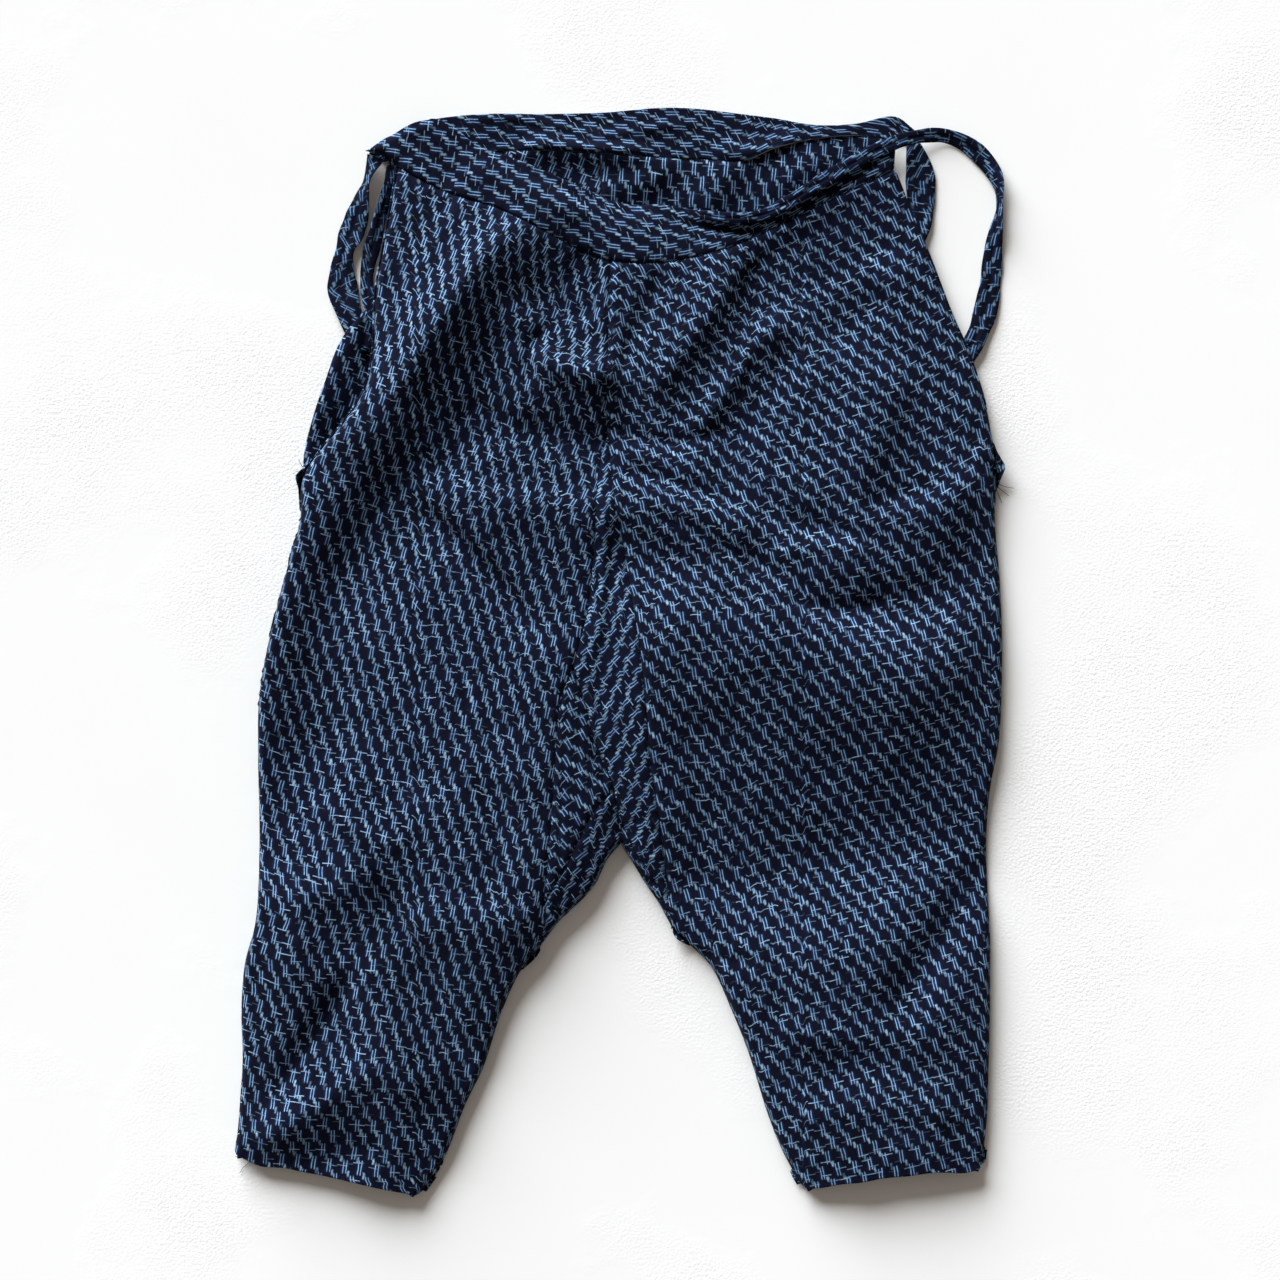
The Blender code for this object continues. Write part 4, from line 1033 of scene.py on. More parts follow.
@dataclass
class BackLeg(Piece):
    """A back leg, flat on the surface, with soft creases that lift from it."""

    table: tuple
    inner: Array
    inseam: int
    seam_rows: tuple
    centre: tuple
    grain: Grain
    columns: int = 44
    parts: int = 12
    top_points: int = 60
    hem_rows: int = 14
    hem_radius: float = 0.62

    def make(self, form: BackForm, arcs: ArcField, material: Material) -> None:
        side = columns(self.table, "side_x", "side_y")
        side[:, 0] += np.sign(side[:, 0]) * [row.back_out for row in self.table]
        inner = self.inner.copy()
        start = BACK_SEAM[BACK_CENTRE_ROW]
        inner[: GUSSET_TOP + 1] = np.linspace(start, inner[GUSSET_TOP], GUSSET_TOP + 1)
        top = through(BACK_SEAM, np.linspace(*self.seam_rows, self.top_points))
        stations = hem_stations(len(side), self.parts)
        first, second = round_corners(through(side, stations), seam_edge(inner, stations))
        shares = even_shares(len(first), self.columns)
        grid = patch(first, second, shares, top=at_shares(top, shares[0]))
        draw_in(grid, Border.LAST, amount=np.where(stations < self.inseam, SEAM_GAP / 2, BACK_TUCK))
        draw_in(grid, Border.TOP)
        shell = on_form(grid, form, arcs.cloth(grid, self.centre, self.grain, flat=True), up=False)
        piece = shell.turned(self.hem_rows, self.hem_radius).make(self.name)
        self.finish(piece, "body_cotton", material, ["floor"])


def gusset_plan(first: Array, second: Array, bottom: Array, count: int) -> Array:
    """Plan of a gusset piece between two seams, from where they part to its lower edge."""
    start = int(np.argmax(np.linalg.norm(second - first, axis=1) >= APEX_WIDTH))
    first, second = first[start:], second[start:]
    shares = even_shares(len(first), count)
    grid = patch(first, second, shares, bottom=at_shares(bottom, shares[0]))
    draw_in(grid, Border.FIRST, Border.LAST)
    return grid


@dataclass
class FrontGusset(Piece):
    """A front gusset piece between two seams, cut on the bias."""

    first: Array
    second: Array
    seam: Array
    centre: tuple
    grain: Grain
    columns: int = 40

    def make(self, form: GarmentForm, arcs: ArcField, material: Material) -> None:
        grid = gusset_plan(self.first, self.second, self.seam, self.columns)
        draw_in(grid, Border.TOP, Border.BOTTOM)
        shell = on_form(grid, form, arcs.cloth(grid, self.centre, self.grain))
        piece = shell.make(self.name, floor=FRONT_FLOOR)
        self.finish(piece, "body_cotton", material, ["back_gusset_left"])


@dataclass
class BackGusset(Piece):
    """A back gusset piece: flat, turned up at the crotch and rolled to the front seam.

    low is the height of its flat part, and turn the radius of its upturned edge.
    """

    first: Array
    second: Array
    outline: Array
    seam: Array
    ends: tuple
    centre: tuple
    grain: Grain
    columns: int = 40
    strip_rows: int = 22
    turn: float = 0.66
    low: float = 0.04

    def strip(self) -> Array:
        """Plan of the strip that is rolled to the front, from the outline to the seam."""
        half = self.strip_rows // 2
        angles = np.radians(np.linspace(0, 90, half + 1))
        near = np.concatenate([0.5 * (1 - np.cos(angles)), np.linspace(0.5, 1, half + 1)[1:]])
        even = np.linspace(0, 1, self.columns)
        edges = at_shares(self.outline, even), at_shares(self.seam, even)
        grid = patch(*edges, np.tile(near, (self.columns, 1)), *(at_shares(end, near) for end in self.ends))
        draw_in(grid, Border.TOP, Border.BOTTOM, Border.LAST)
        return grid[:, 1:].transpose(1, 0, 2)

    def make(self, form: GarmentForm, arcs: ArcField, material: Material) -> None:
        flat = gusset_plan(self.first, self.second, self.outline, self.columns)
        edge, inside = flat[-1], flat[-2]
        square = inset(edge, inside, 1.0) - edge
        back = inside - edge
        back /= np.abs((back * square).sum(axis=1))[:, None]
        strip = self.strip()
        rows = [np.column_stack([row, np.full(len(row), self.low)]) for row in flat[:-1]]
        for degrees in range(0, 91, 30):
            angle = math.radians(degrees)
            spot = edge + self.turn * (1 - math.sin(angle)) * back
            height = self.low + self.turn * (1 - math.cos(angle))
            rows.append(np.column_stack([spot, np.full(len(spot), height)]))
        rolled = np.dstack([strip, form.height(strip[..., 0], strip[..., 1])])
        plan = np.concatenate([flat[:-1], np.tile(edge, (4, 1, 1)), strip])
        shell = faced(np.concatenate([rows, rolled]), arcs.cloth(plan, self.centre, self.grain), up=False)
        self.finish(shell.make(self.name), "body_cotton", material, ["floor"])


def band_plan(seam: Array, top: Array, step: float = 1.7, across: int = 22) -> Array:
    """Plan of a waistband between its lower seam and its top edge."""
    stations = even_stations(seam, step)
    grid = patch(through(seam, stations), through(top, stations), even_shares(len(stations), across))
    draw_in(grid, Border.FIRST)
    return grid


def band_cloth(grid: Array) -> Array:
    """Places on a band's cloth, whose warp runs along it: across and along, in metres."""
    along = np.stack([lengths(grid[:, column]) for column in range(grid.shape[1])], axis=1)
    across = np.stack([lengths(row) for row in grid])
    return np.stack([across, along], axis=-1) * MM


def eased_cloth(grid: Array, turn: float, ease: float) -> Array:
    """A band's cloth that keeps its own straight grain on the plan's negative side.

    Args:
        grid: the band's places on the plan.
        turn: the straight grain's lean, in degrees.
        ease: width over which the two ways blend.

    Returns:
        Places across and along the cloth, in metres.
    """
    start = int(np.abs(grid[:, 0, 0]).argmin())
    bent = band_cloth(grid) - band_cloth(grid)[start, 0]
    x, y = grid[..., 0] - grid[start, 0, 0], grid[..., 1] - grid[start, 0, 1]
    cosine, sine = math.cos(math.radians(turn)), math.sin(math.radians(turn))
    straight = np.stack([x * sine + y * cosine, x * cosine - y * sine], axis=-1) * MM
    share = smooth_step(-x / ease)[..., None]
    return bent * (1 - share) + straight * share


@dataclass
class FrontBand(Piece):
    """The front waistband, laid over the legs' pleats, its top edge folded."""

    turn: float = 8.0
    ease: float = 28.0
    fold_rows: int = 20
    fold_radius: float = 0.75
    floor: float = 1.3

    def make(self, form: GarmentForm, material: Material) -> None:
        grid = band_plan(FRONT_SEAM, FRONT_TOP)
        shell = on_form(grid, form, eased_cloth(grid, self.turn, self.ease), BAND_RISE).swapped()
        piece = shell.turned(self.fold_rows, self.fold_radius).make(self.name, floor=self.floor)
        self.finish(piece, "band_cotton", material, ["back_waistband"])


@dataclass
class BackBand(Piece):
    """The back waistband, whose inner face shows above the front one."""

    folds: tuple
    fold_ends: float = 4.0
    level: float = 1.0
    least: float = 0.7
    ripple: float = 0.2
    ripple_pitch: float = 9.0
    fold_rows: int = 20
    fold_radius: float = 0.48
    wall: float = 0.4

    def make(self, material: Material) -> None:
        grid = band_plan(BACK_SEAM, BACK_TOP)
        x, y = grid[..., 0].ravel(), grid[..., 1].ravel()
        rise = self.level + self.ripple * soft_noise(x, y, self.ripple_pitch, seed=5)
        rise += fold_lift(x, y, self.folds, self.fold_ends)
        outer = np.dstack([grid, np.maximum(rise, self.least).reshape(grid.shape[:2])])
        shell = faced(outer, band_cloth(grid)).swapped().turned(self.fold_rows, self.fold_radius)
        self.finish(shell.make(self.name, self.wall, floor=LOW_FLOOR), "band_cotton", material, ["floor"])


@dataclass
class TieStrip(Piece):
    """A tie: a strip of cloth folded lengthwise, open along one edge."""

    table: tuple
    lean: float
    step: float = 1.6
    wall: float = 0.36
    thickness: float = 1.5
    width_noise: float = 0.10
    width_pitch: float = 7.0
    wobble: float = 0.12
    wobble_pitch: float = 4.0
    wobble_across: float = 9.0
    clear: float = 0.1
    seed: int = 11

    def heights(self, form: GarmentForm, stations: Array, spread: list) -> Array:
        """Heights of the tie's middle line: on the band first, then as its table says.

        Args:
            form: the front's form.
            stations: places down the table.
            spread: the tie's edges and middle on the plan at those places.

        Returns:
            One height for each station.
        """
        lying = np.max([form.height(spot[:, 0], spot[:, 1]) for spot in spread], axis=0)
        lying += BAND_RISE + SEAM_GAP + self.thickness / 2
        given = np.array([row.height for row in self.table], float)
        last = int(np.sum(given == 0))
        given[:last] = np.interp(np.arange(last), stations, lying)
        height = np.interp(stations, np.arange(len(given)), given)
        return np.where(stations < last, np.maximum(height, lying), height)

    def make(self, form: GarmentForm, material: Material) -> None:
        line = columns(self.table, "x", "y")
        stations = even_stations(line, self.step)
        middle = through(line, stations)
        width, tilt = through(columns(self.table, "width", "tilt"), stations).T
        run = unit(np.gradient(middle, axis=0))
        side = np.stack([-run[:, 1], run[:, 0], np.zeros(len(run))], axis=1)
        along = lengths(middle)
        width = width * (1 + self.width_noise * soft_noise(along, 0 * along, self.width_pitch, self.seed))
        lean = np.radians(tilt)
        least = width / 2 * np.abs(np.sin(lean)) + self.thickness / 2 * np.cos(lean) + self.clear
        spread = [middle + side[:, :2] * width[:, None] / 2 * share for share in (-1, 0, 1)]
        centre = np.column_stack([middle, np.maximum(self.heights(form, stations, spread), least)])
        forward = unit(np.gradient(centre, axis=0))
        up = np.cross(forward, side)
        across = np.cos(lean)[:, None] * side + np.sin(lean)[:, None] * up
        upright = np.cross(forward, across)
        section = dense(TIE_FOLD, 3)
        place, down = np.meshgrid(self.wobble_across * section[:, 0], along)
        wobble = self.wobble * soft_noise(down, place, self.wobble_pitch, seed=7)
        outer = centre[:, None] + across[:, None] * width[:, None, None] / 2 * section[None, :, :1]
        outer = outer + upright[:, None] * (self.thickness / 2 * section[None, :, 1:] + wobble[..., None])
        normal = grid_normals(outer)
        if np.median((normal * (outer - centre[:, None])).sum(axis=-1)) < 0:
            normal = -normal
        around = np.stack([lengths(row) for row in outer])
        cosine, sine = math.cos(math.radians(self.lean)), math.sin(math.radians(self.lean))
        length = along[:, None]
        cloth = np.stack([around * cosine - length * sine, around * sine + length * cosine], axis=-1) * MM
        piece = Shell(outer, normal, cloth).make(self.name, self.wall, floor=LOW_FLOOR)
        self.finish(piece, "tie_cotton", material, ["floor"])


@dataclass
class LooseThreads:
    """The few cut thread ends that stick out of the seams and corners."""

    strands: tuple
    name: str = "loose_thread_ends"
    thickness: float = 0.26
    taper: float = 0.4
    clear: float = 0.3
    sides: int = 4
    joints: int = 4

    def rings(self, strand: Strand, form: GarmentForm) -> Array:
        """The points of one strand, a ring for each of its rows."""
        path = dense(strand.path, self.joints)
        low = np.zeros(len(path)) if strand.on_floor else form.height(path[:, 0], path[:, 1])
        centre = np.column_stack([path, low + self.clear + strand.lift * np.linspace(0, 1, len(path))])
        forward = unit(np.gradient(centre, axis=0))
        side = unit(np.cross(forward, (0.0, 0.0, 1.0)))
        up = np.cross(side, forward)
        turns = 2 * math.pi * np.arange(self.sides) / self.sides
        half = self.thickness / 2 * (1 - self.taper * np.arange(len(path)) / len(path))
        ring = np.cos(turns)[:, None] * side[:, None] + np.sin(turns)[:, None] * up[:, None]
        return centre[:, None] + half[:, None, None] * ring

    def make(self, form: GarmentForm, material: Material) -> None:
        """Makes all ends as one piece of thin four-sided strands."""
        points, faces = [], []
        for strand in self.strands:
            rings = self.rings(strand, form)
            start = len(points)
            index = start + np.arange(rings.shape[0] * self.sides).reshape(-1, self.sides)
            next_one = np.roll(index, -1, axis=1)
            around = index[:-1], next_one[:-1], next_one[1:], index[1:]
            faces.extend(np.stack(around, axis=-1).reshape(-1, 4).tolist())
            faces.extend([index[0, ::-1].tolist(), index[-1].tolist()])
            points.extend(((rings.reshape(-1, 3) - MIDDLE) * MM).tolist())
        mesh = bpy.data.meshes.new(self.name)
        mesh.from_pydata(points, [], faces)
        mesh.materials.append(material)
        piece = add_object(self.name, mesh)
        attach(piece, "root")
        logging.info("%s: %d faces", piece.name, len(piece.data.polygons))


def linear(colour: str) -> tuple:
    """An sRGB hex colour as linear values.

    Args:
        colour: six hex digits.

    Returns:
        Red, green, blue and 1.
    """
    values = [int(colour[start : start + 2], 16) / 255 for start in (0, 2, 4)]
    levels = [part / 12.92 if part <= 0.04045 else ((part + 0.055) / 1.055) ** 2.4 for part in values]
    return (*levels, 1.0)


def add_node(tree: Tree, kind: str, inputs: dict, **settings: str | bool) -> bpy.types.bpy_prop_collection:
    """Adds a node with its settings and links.

    Args:
        tree: the material's nodes.
        kind: Blender's name for the node, without what all shader nodes' names begin with.
        inputs: socket names or numbers, each with a value or the socket to link.
        settings: the node's own properties.

    Returns:
        The node's outputs.
    """
    node = tree.nodes.new(f"ShaderNode{kind}")
    for name, value in settings.items():
        setattr(node, name, value)
    for name, value in inputs.items():
        if isinstance(value, Socket):
            tree.links.new(value, node.inputs[name])
        else:
            node.inputs[name].default_value = value
    return node.outputs


def add_noise(tree: Tree, place: Socket, scale: float, detail: float, **more: float) -> Socket:
    """Adds soft noise, its scale in patches to a metre, and gives its value."""
    inputs = {"Vector": place, "Scale": scale, "Detail": detail} | more
    return add_node(tree, "TexNoise", inputs)["Fac"]


def add_blend(tree: Tree, share: Socket, first: Socket | tuple, second: Socket | tuple) -> Socket:
    """Adds a blend of two colours, each a socket or a linear colour, and gives its colour."""
    return add_node(tree, "Mix", {"Factor": share, 6: first, 7: second}, data_type="RGBA")[2]


def new_material(name: str, constants: dict) -> tuple:
    """Starts a material, with constant values straight on its shader's sockets.

    Args:
        name: the real material and how it was made.
        constants: values by socket name.

    Returns:
        The material, its nodes and its shader.
    """
    made = bpy.data.materials.new(name)
    made.use_nodes = True
    shader = made.node_tree.nodes["Principled BSDF"]
    for socket, value in constants.items():
        shader.inputs[socket].default_value = value
    return made, made.node_tree, shader


class Step(NamedTuple):
    """One sum of a pattern: its name, the operation, what it works on, and a clamp from 0 to 1."""

    name: str
    operation: str
    works_on: tuple
    clamp: bool = False


def work_out(tree: Tree, known: dict, steps: Sequence[Step]) -> None:
    """Adds a pattern's sums in order.

    Args:
        tree: the material's nodes.
        known: sockets by name, to which each step's result is added.
        steps: the sums.
    """
    for step in steps:
        inputs = {place: known.get(item, item) for place, item in enumerate(step.works_on)}
        known[step.name] = add_node(tree, "Math", inputs, operation=step.operation, use_clamp=step.clamp)[0]


def stripe(name: str, value: str, middle: float | str, edge: float, soft: float) -> tuple:
    """The sums of a soft stripe.

    Args:
        name: of the result, which is 1 in the stripe and 0 outside it.
        value: the name of what is measured across the stripe.
        middle: the value at the stripe's middle, or its name.
        edge: how far from the middle the stripe has faded out.
        soft: the width of the fading.

    Returns:
        Three steps.
    """
    return (
        Step(f"{name}_from", "SUBTRACT", (value, middle)),
        Step(f"{name}_far", "ABSOLUTE", (f"{name}_from",)),
        Step(name, "MULTIPLY_ADD", (f"{name}_far", -1 / soft, edge / soft), True),
    )


def weft_dash(
    name: str, level: tuple, edge: float, middle: float, end: float, tone: tuple, clamp: bool
) -> tuple:
    """The sums of one thin weft dash beside each pair.

    Args:
        name: of the result.
        level: what sets the dash's level, its scale and its offset.
        edge: how far from that level it has faded out.
        middle: how far its middle lies to the dash's own side of the pair.
        end: how far from there it has faded out.
        tone: what sets its tone, its scale and its offset.
        clamp: whether the tone stays from 0 to 1.

    Returns:
        Its steps.
    """
    return (
        Step(f"{name}_level", "MULTIPLY_ADD", level),
        *stripe(f"{name}_line", "up", f"{name}_level", edge, 0.14),
        *stripe(f"{name}_end", "dash_place", middle, end, 1 / 1.5),
        Step(f"{name}_shape", "MULTIPLY", (f"{name}_line", f"{name}_end")),
        Step(f"{name}_tone", "MULTIPLY_ADD", tone, clamp),
        Step(name, "MULTIPLY", (f"{name}_shape", f"{name}_tone")),
    )


# The kasuri repeat, in millimetres: rows and pairs of threads, a pair's half
# spacing, half thickness and soft edge, its half length and how fast that ends,
# and how much its ends fray
ROW_PITCH = 6.0
WEFT_PITCH = 6.6
PAIR_HALF = 0.60
THREAD_HALF = 0.155
THREAD_SOFT = 0.12
DASH_HALF = 2.85
DASH_FADE = 1.4
FRAY = 2.2
DASH_REACH = DASH_HALF + FRAY / 2
WEAVE_PITCH = 0.6
CELL_STEPS = (
    Step("row_place", "DIVIDE", ("v", ROW_PITCH)),
    Step("row", "FLOOR", ("row_place",)),
    Step("row_share", "SUBTRACT", ("row_place", "row")),
    Step("shift", "MULTIPLY", ("row", 0.5)),
    Step("column_place", "MULTIPLY_ADD", ("u", 1 / WEFT_PITCH, "shift")),
    Step("column", "FLOOR", ("column_place",)),
    Step("column_share", "SUBTRACT", ("column_place", "column")),
)
KASURI_STEPS = (
    # Millimetres from the middle of the cell, with each pair a little off it
    Step("up_share", "SUBTRACT", ("row_share", 0.5)),
    Step("up", "MULTIPLY", ("up_share", ROW_PITCH)),
    Step("side_share", "SUBTRACT", ("column_share", 0.5)),
    Step("side", "MULTIPLY", ("side_share", WEFT_PITCH)),
    Step("off_side", "MULTIPLY_ADD", ("chance_1", 0.7, -0.35)),
    Step("off_up", "MULTIPLY_ADD", ("chance_2", 0.8, -0.4)),
    Step("x", "ADD", ("side", "off_side")),
    Step("y", "ADD", ("up", "off_up")),
    # The pair of warp threads
    Step("beside", "ABSOLUTE", ("x",)),
    *stripe("thread", "beside", PAIR_HALF, THREAD_HALF + THREAD_SOFT / 2, THREAD_SOFT),
    Step("reach", "ABSOLUTE", ("y",)),
    Step("ragged", "MULTIPLY_ADD", ("fray", FRAY, "reach")),
    Step("reach_mask", "MULTIPLY_ADD", ("ragged", -DASH_FADE, DASH_REACH * DASH_FADE + 0.2), True),
    Step("pair_full", "MULTIPLY", ("thread", "reach_mask")),
    Step("pair_bright", "MULTIPLY_ADD", ("chance_3", 0.35, 0.72), True),
    Step("pair", "MULTIPLY", ("pair_full", "pair_bright")),
    # The blotch on the way to the pair below and to the right
    Step("above", "SIGN", ("up",)),
    Step("blotch_side", "MULTIPLY_ADD", ("above", 0.25 * WEFT_PITCH, "side")),
    Step("blotch_wander", "MULTIPLY_ADD", ("fray", 1.2, "blotch_side")),
    *stripe("blotch_mask", "blotch_wander", 0.6, 0.66, 0.45),
    Step("from_row", "ABSOLUTE", ("up",)),
    Step("blotch_low", "MULTIPLY_ADD", ("from_row", 1.5, -1.5 * 1.5), True),
    Step("blotch_shape", "MULTIPLY", ("blotch_mask", "blotch_low")),
    Step("blotch_bright", "MULTIPLY_ADD", ("blotch_tone", 2.6, -0.75), True),
    Step("blotch", "MULTIPLY", ("blotch_shape", "blotch_bright")),
    # Two thin weft dashes from each pair, to one side or the other
    Step("dash_turn", "SUBTRACT", ("chance_5", 0.5)),
    Step("dash_way", "SIGN", ("dash_turn",)),
    Step("dash_place", "MULTIPLY", ("dash_way", "side")),
    *weft_dash("dash", ("chance_4", 4.4, -2.2), 0.23, 1.5, 2.7, ("chance_6", 1.0, 0.05), False),
    *weft_dash("dash2", ("chance_3", -4.6, 2.3), 0.21, -1.6, 2.5, ("chance_2", 1.5, -0.75), True),
    # All together, with the threads' own unevenness
    Step("light_1", "MAXIMUM", ("pair", "blotch")),
    Step("light_2", "MAXIMUM", ("dash", "dash2")),
    Step("light_3", "MAXIMUM", ("light_1", "light_2")),
    Step("patchy", "MULTIPLY_ADD", ("cloud", 1.8, 0.1)),
    Step("flicker", "MULTIPLY_ADD", ("grit", 1.5, 0.28)),
    Step("light_4", "MULTIPLY", ("light_3", "flicker")),
    Step("light", "MULTIPLY", ("light_4", "patchy"), True),
    # The dye's soft blue edge around the threads
    Step("halo_side", "MULTIPLY_ADD", ("beside", -1 / 1.3, 1.9 / 1.3), True),
    Step("halo", "MULTIPLY", ("halo_side", "reach_mask")),
    Step("halo_soft", "MULTIPLY", ("halo", 0.42)),
    # The weave's relief, drawn at WEAVE_PITCH instead of 0.4 mm so that it shows
    Step("weft_wave", "MULTIPLY", ("v", 2 * math.pi / WEAVE_PITCH)),
    Step("weft_rise", "SINE", ("weft_wave",)),
    Step("warp_wave", "MULTIPLY", ("u", 2 * math.pi / WEAVE_PITCH)),
    Step("warp_rise", "SINE", ("warp_wave",)),
    Step("weave", "MULTIPLY", ("weft_rise", "warp_rise")),
    Step("weave_rough", "MULTIPLY_ADD", ("grit", 1.2, "weave")),
    Step("relief", "MULTIPLY_ADD", ("light", 0.8, "weave_rough")),
)


@dataclass(frozen=True)
class CottonThread:
    """Indigo-dyed sewing cotton: near-black blue, with paler fluff along it."""

    name: str = "indigo-dyed cotton thread, twisted"
    dark: str = "16182c"
    pale: str = "4c6c90"
    fluff: float = 650.0

    def build(self) -> Material:
        """Makes the material, with fluff about 1.5 mm apart."""
        made, tree, shader = new_material(self.name, {"Roughness": 0.9, "Specular IOR Level": 0.04})
        place = add_node(tree, "TexCoord", {})["Object"]
        fluff = add_noise(tree, place, self.fluff, 2.0)
        colour = add_blend(tree, fluff, linear(self.dark), linear(self.pale))
        tree.links.new(colour, shader.inputs["Base Color"])
        return made


@dataclass(frozen=True)
class KasuriCotton:
    """Plain-woven cotton with threads tied before indigo dyeing: matte, dark, with pale dashes."""

    name: str
    ground: str = "12142a"
    deep: str = "07080f"
    halo: str = "193768"
    pale: str = "5d89b3"
    pale_high: str = "a7c4dc"
    seed: float = 0.0
    roughness: float = 0.88
    sheen: float = 0.015
    waver: float = 0.0015
    crumple: float = 0.0009
    thread_relief: float = 0.00012

    def pattern(self, tree: Tree, place: Socket) -> dict:
        """Works out the repeat.

        Args:
            tree: the material's nodes.
            place: the place on the cloth, in metres.

        Returns:
            The pattern's values by name.
        """
        # Threads waver by up to 0.35 mm
        waver = add_node(tree, "TexNoise", {"Vector": place, "Scale": 110.0, "Detail": 3.0})["Color"]
        most = (self.waver, self.waver, 0.0)
        waved = add_node(tree, "VectorMath", {0: waver, 1: most, 2: place}, operation="MULTIPLY_ADD")[0]
        known = {"fray": add_noise(tree, place, 700.0, 2.0)}
        for name, socket in zip("uv", add_node(tree, "SeparateXYZ", {0: waved})):
            known[name] = add_node(tree, "Math", {0: socket, 1: 1 / MM}, operation="MULTIPLY")[0]
        work_out(tree, known, CELL_STEPS)
        for first, offset in ((1, self.seed), (4, self.seed + 31.0)):
            cell = add_node(tree, "CombineXYZ", {0: known["column"], 1: known["row"], 2: offset})[0]
            chance = add_node(tree, "TexWhiteNoise", {"Vector": cell})["Color"]
            for number, socket in enumerate(add_node(tree, "SeparateXYZ", {0: chance}), first):
                known[f"chance_{number}"] = socket
        known["cloud"] = add_noise(tree, place, 260.0, 4.0, Roughness=0.7)
        known["grit"] = add_noise(tree, place, 1500.0, 2.0)
        known["blotch_tone"] = add_noise(tree, place, 160.0, 2.0)
        work_out(tree, known, KASURI_STEPS)
        return known

    def build(self) -> Material:
        """Makes the material.

        Returns:
            The material, whose pattern follows the piece's own UV map.
        """
        constants = {"Roughness": self.roughness, "Sheen Weight": self.sheen, "Sheen Roughness": 0.5}
        made, tree, shader = new_material(self.name, constants | {"Specular IOR Level": 0.04})
        place = add_node(tree, "UVMap", {}, uv_map=CLOTH_MAP)[0]
        known = self.pattern(tree, place)
        mottle = add_noise(tree, place, 45.0, 5.0)
        ground = add_blend(tree, mottle, linear(self.deep), linear(self.ground))
        dyed = add_blend(tree, known["halo_soft"], ground, linear(self.halo))
        pale = add_blend(tree, known["cloud"], linear(self.pale), linear(self.pale_high))
        tree.links.new(add_blend(tree, known["light"], dyed, pale), shader.inputs["Base Color"])
        # Crumples of the soft cotton, 6 to 7 mm apart, which the shells are too coarse for
        crumple = add_noise(tree, place, 150.0, 3.0, Distortion=0.8)
        soft = add_node(tree, "Bump", {"Strength": 0.4, "Distance": self.crumple, "Height": crumple})[0]
        woven = {"Strength": 0.5, "Distance": self.thread_relief, "Height": known["relief"]}
        bump = add_node(tree, "Bump", woven | {"Normal": soft})[0]
        tree.links.new(bump, shader.inputs["Normal"])
        return made


@dataclass(frozen=True)
class LimedPlaster:
    """A trowelled, limewashed board: near white, with faint pits and smears."""

    name: str = "limewashed plaster, trowelled"
    light: str = "f8f8f8"
    dull: str = "f0f0ef"
    pit_depth: float = 0.0005

    def build(self) -> Material:
        """Makes the material on the floor's own coordinates."""
        made, tree, shader = new_material(self.name, {"Roughness": 0.95, "Specular IOR Level": 0.2})
        place = add_node(tree, "TexCoord", {})["Object"]
        smear = add_noise(tree, place, 7.0, 6.0)
        pits = add_noise(tree, place, 850.0, 3.0)
        colour = add_blend(tree, smear, linear(self.dull), linear(self.light))
        tree.links.new(colour, shader.inputs["Base Color"])
        # The pits lie in patches, where the smears are lightest
        patches = add_node(tree, "MapRange", {0: smear, 1: 0.48, 2: 0.62, 3: 0.0, 4: 1.0})[0]
        rise = add_node(tree, "Math", {0: pits, 1: patches}, operation="MULTIPLY")[0]
        bump = add_node(tree, "Bump", {"Strength": 0.5, "Distance": self.pit_depth, "Height": rise})[0]
        tree.links.new(bump, shader.inputs["Normal"])
        return made


@dataclass
class Studio:
    """The floor, the soft light and the camera straight above, in metres and degrees."""

    aim: tuple = (0.00872, 0.0047)
    camera_height: float = 1.253
    lens: float = 85.0
    sensor: float = 36.0
    near: float = 0.05
    key_strength: float = 10.0
    key_angle: float = 46.0
    key_height: float = 16.0
    key_from: tuple = (-0.46, 0.89)
    key_colour: tuple = (0.955, 1.003, 1.028)
    fill: float = 0.225
    fill_colour: tuple = (1.0, 0.87, 0.76, 1.0)
    floor_half: float = 8.0

    def build(self) -> None:
        """Makes the floor, the light and the camera."""
        mesh = bpy.data.meshes.new("floor")
        half = self.floor_half
        corners = [(-half, -half, 0), (half, -half, 0), (half, half, 0), (-half, half, 0)]
        mesh.from_pydata(corners, [], [(0, 1, 2, 3)])
        mesh.materials.append(LimedPlaster().build())
        add_object("floor", mesh)

        world = bpy.data.worlds.new("studio")
        bpy.context.scene.world = world
        world.use_nodes = True
        sky = world.node_tree.nodes["Background"].inputs
        sky["Color"].default_value, sky["Strength"].default_value = self.fill_colour, self.fill

        sun = bpy.data.lights.new("key", "SUN")
        sun.energy, sun.angle, sun.color = self.key_strength, math.radians(self.key_angle), self.key_colour
        level = math.radians(self.key_height)
        away = math.hypot(*self.key_from)
        toward = [math.cos(level) * part / away for part in self.key_from] + [math.sin(level)]
        add_object("key", sun).rotation_euler = Vector(toward).to_track_quat("Z", "Y").to_euler()

        lens = bpy.data.cameras.new("camera")
        lens.lens, lens.sensor_width, lens.clip_start = self.lens, self.sensor, self.near
        camera = add_object("camera", lens)
        camera.location = (*self.aim, self.camera_height)
        bpy.context.scene.camera = camera
        bpy.context.scene.view_settings.view_transform = "Standard"


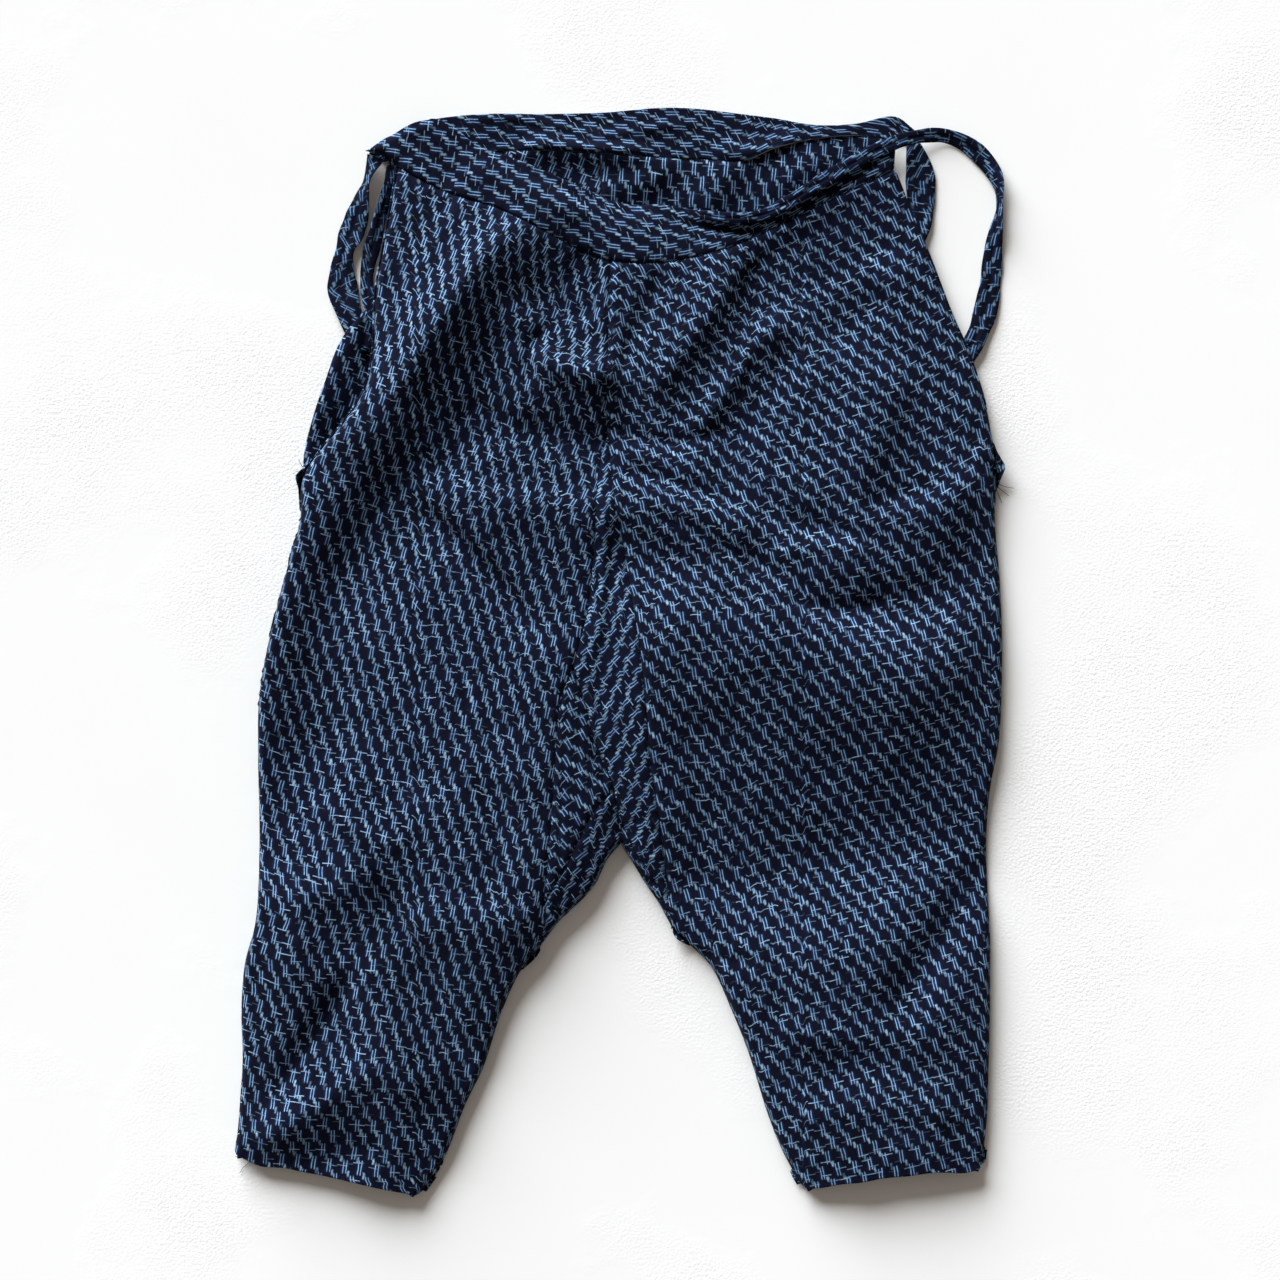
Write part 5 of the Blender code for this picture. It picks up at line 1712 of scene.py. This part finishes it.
def legs() -> tuple[list[FrontLeg], list[BackLeg]]:
    """The four leg panels, right before left."""
    points = 160
    right_top = through(FRONT_SEAM, np.linspace(RIGHT_CORNER_ROW, CENTRE_ROW, points))
    left_top = through(FRONT_SEAM, np.linspace(len(FRONT_SEAM) - 1, CENTRE_ROW, points))
    right, left = (-80, 0), (80, 0)
    front = [
        FrontLeg(
            "front_right_leg_cloth", "front_leg_right", (0.150, 0.440), 0.0483,
            RIGHT_SIDE, RIGHT_INNER, RIGHT_INSEAM, right_top, right, Grain.RIGHT_LEG,
            corner=Bulge(72.6, 1.7, 3.0), dips=(Bulge(-149, 3.0, 8), Bulge(-134, 0.9, 9)),
        ),
        FrontLeg(
            "front_left_leg_cloth", "front_leg_left", (0.165, 0.445), 0.0562,
            LEFT_SIDE, LEFT_INNER, LEFT_INSEAM, left_top, left, Grain.LEFT_LEG,
            corner=Bulge(76.2, 3.4, 4.6), dips=(Bulge(143, 2.4, 9), Bulge(82, 1.2, 9)),
        ),
    ]
    right_rows = (BACK_BODY_START_ROW, BACK_CENTRE_ROW)
    left_rows = (BACK_BODY_END_ROW, BACK_CENTRE_ROW)
    back = [
        BackLeg(
            "back_right_leg_cloth", "back_leg_right", (0.150, 0.450), 0.0482,
            RIGHT_LEG, RIGHT_INNER, RIGHT_INSEAM, right_rows, right, Grain.RIGHT_BACK,
        ),
        BackLeg(
            "back_left_leg_cloth", "back_leg_left", (0.165, 0.450), 0.0574,
            LEFT_LEG, LEFT_INNER, LEFT_INSEAM, left_rows, left, Grain.LEFT_BACK,
        ),
    ]
    return front, back


def left_edges(line_end: float, inner_end: float, parts: int = 8, points: int = 400) -> tuple[Array, Array]:
    """The two edges of a left gusset piece, down to a row of the line and one of the left leg."""
    upper = seam_edge(RIGHT_INNER, split_rows(GUSSET_TOP, GUSSET_SPLIT, parts))
    first = np.vstack([upper, through(LINE, split_rows(0, line_end, parts))[1:]])
    second = seam_edge(LEFT_INNER, np.linspace(GUSSET_TOP, inner_end, points))
    return first, at_shares(second, lengths(first) / lengths(first)[-1])


def right_edges(line_end: float, inner_end: float, points: int) -> tuple[Array, Array]:
    """The two edges of a right gusset piece, down to a row of the right leg and one of the line."""
    first = seam_edge(RIGHT_INNER, np.linspace(GUSSET_SPLIT, inner_end, points))
    return first, through(LINE, np.linspace(0, line_end, points))


def gussets() -> list[FrontGusset | BackGusset]:
    """The four gusset pieces, front before back."""
    crotch, points = len(LINE) - 1, 20
    left, right = (0, 0), (-20, -60)
    left_ends = (
        through(LINE, np.linspace(crotch, LINE_LEFT_ROW, points)),
        seam_edge(LEFT_INNER, np.linspace(LEFT_INSEAM, LEFT_STRIP_ROW, points)),
    )
    right_ends = (
        seam_edge(RIGHT_INNER, np.linspace(RIGHT_INSEAM, RIGHT_STRIP_ROW, points)),
        through(LINE, np.linspace(crotch, LINE_STRIP_ROW, points)),
    )
    return [
        FrontGusset(
            "front_left_gusset_cloth", "front_gusset_left", (0.045, 0.200), 0.0031,
            *left_edges(LINE_LEFT_ROW, LEFT_STRIP_ROW), LEFT_CROTCH_SEAM, left, Grain.BIAS_LEFT,
        ),
        FrontGusset(
            "front_right_gusset_cloth", "front_gusset_right", (0.030, 0.100), 0.0013,
            *right_edges(LINE_STRIP_ROW, RIGHT_STRIP_ROW, 36), RIGHT_CROTCH_SEAM, right, Grain.BIAS_RIGHT,
        ),
        BackGusset(
            "back_left_gusset_cloth", "back_gusset_left", (0.045, 0.210), 0.0035,
            *left_edges(crotch, LEFT_INSEAM), LEFT_OUTLINE, LEFT_CROTCH_SEAM, left_ends, left,
            Grain.BIAS_RIGHT,
        ),
        BackGusset(
            "back_right_gusset_cloth", "back_gusset_right", (0.045, 0.150), 0.0030,
            *right_edges(crotch, RIGHT_INSEAM, 60), RIGHT_OUTLINE, RIGHT_CROTCH_SEAM, right_ends, right,
            Grain.BIAS_LEFT,
        ),
    ]


def main() -> None:
    """Builds the garment's pieces in order and the studio around them."""
    logging.basicConfig(level=logging.INFO, format="%(message)s")
    form, back_form = GarmentForm(FOLDS + FINE_FOLDS), BackForm(BACK_FOLDS)
    arcs = ArcField(form, (-170, -235), (170, 235))
    body = KasuriCotton("indigo kasuri cotton, plain-woven").build()
    banded = KasuriCotton("indigo kasuri cotton, waistbands", seed=7.0).build()
    tied = KasuriCotton("indigo kasuri cotton, ties", pale="4d7699", pale_high="8ba9c2", seed=15.0).build()

    front_legs, back_legs = legs()
    for leg in front_legs:
        leg.make(form, arcs, body)
    for leg in back_legs:
        leg.make(back_form, arcs, body)
    for gusset in gussets():
        gusset.make(form, arcs, body)
    FrontBand("front_band_cloth", "front_waistband", (0.048, 0.250), 0.0086).make(form, banded)
    BackBand("back_band_cloth", "back_waistband", (0.034, 0.235), 0.0064, BACK_BAND_FOLDS).make(banded)
    for tie in (
        TieStrip("front_right_tie_cloth", "tie_front_right", (0.020, 0.090), 0.0016, TIE_FRONT_RIGHT, 35.0),
        TieStrip("back_right_tie_cloth", "tie_back_right", (0.012, 0.075), 0.0008, TIE_BACK_RIGHT, 20.0),
        TieStrip("front_left_tie_cloth", "tie_front_left", (0.013, 0.230), 0.0029, TIE_FRONT_LEFT, 6.0),
        TieStrip("back_left_tie_cloth", "tie_back_left", (0.018, 0.050), 0.0009, TIE_BACK_LEFT, -12.0),
    ):
        tie.make(form, tied)
    LooseThreads(THREAD_ENDS).make(form, CottonThread().build())
    Studio().build()


if __name__ == "__main__":
    main()
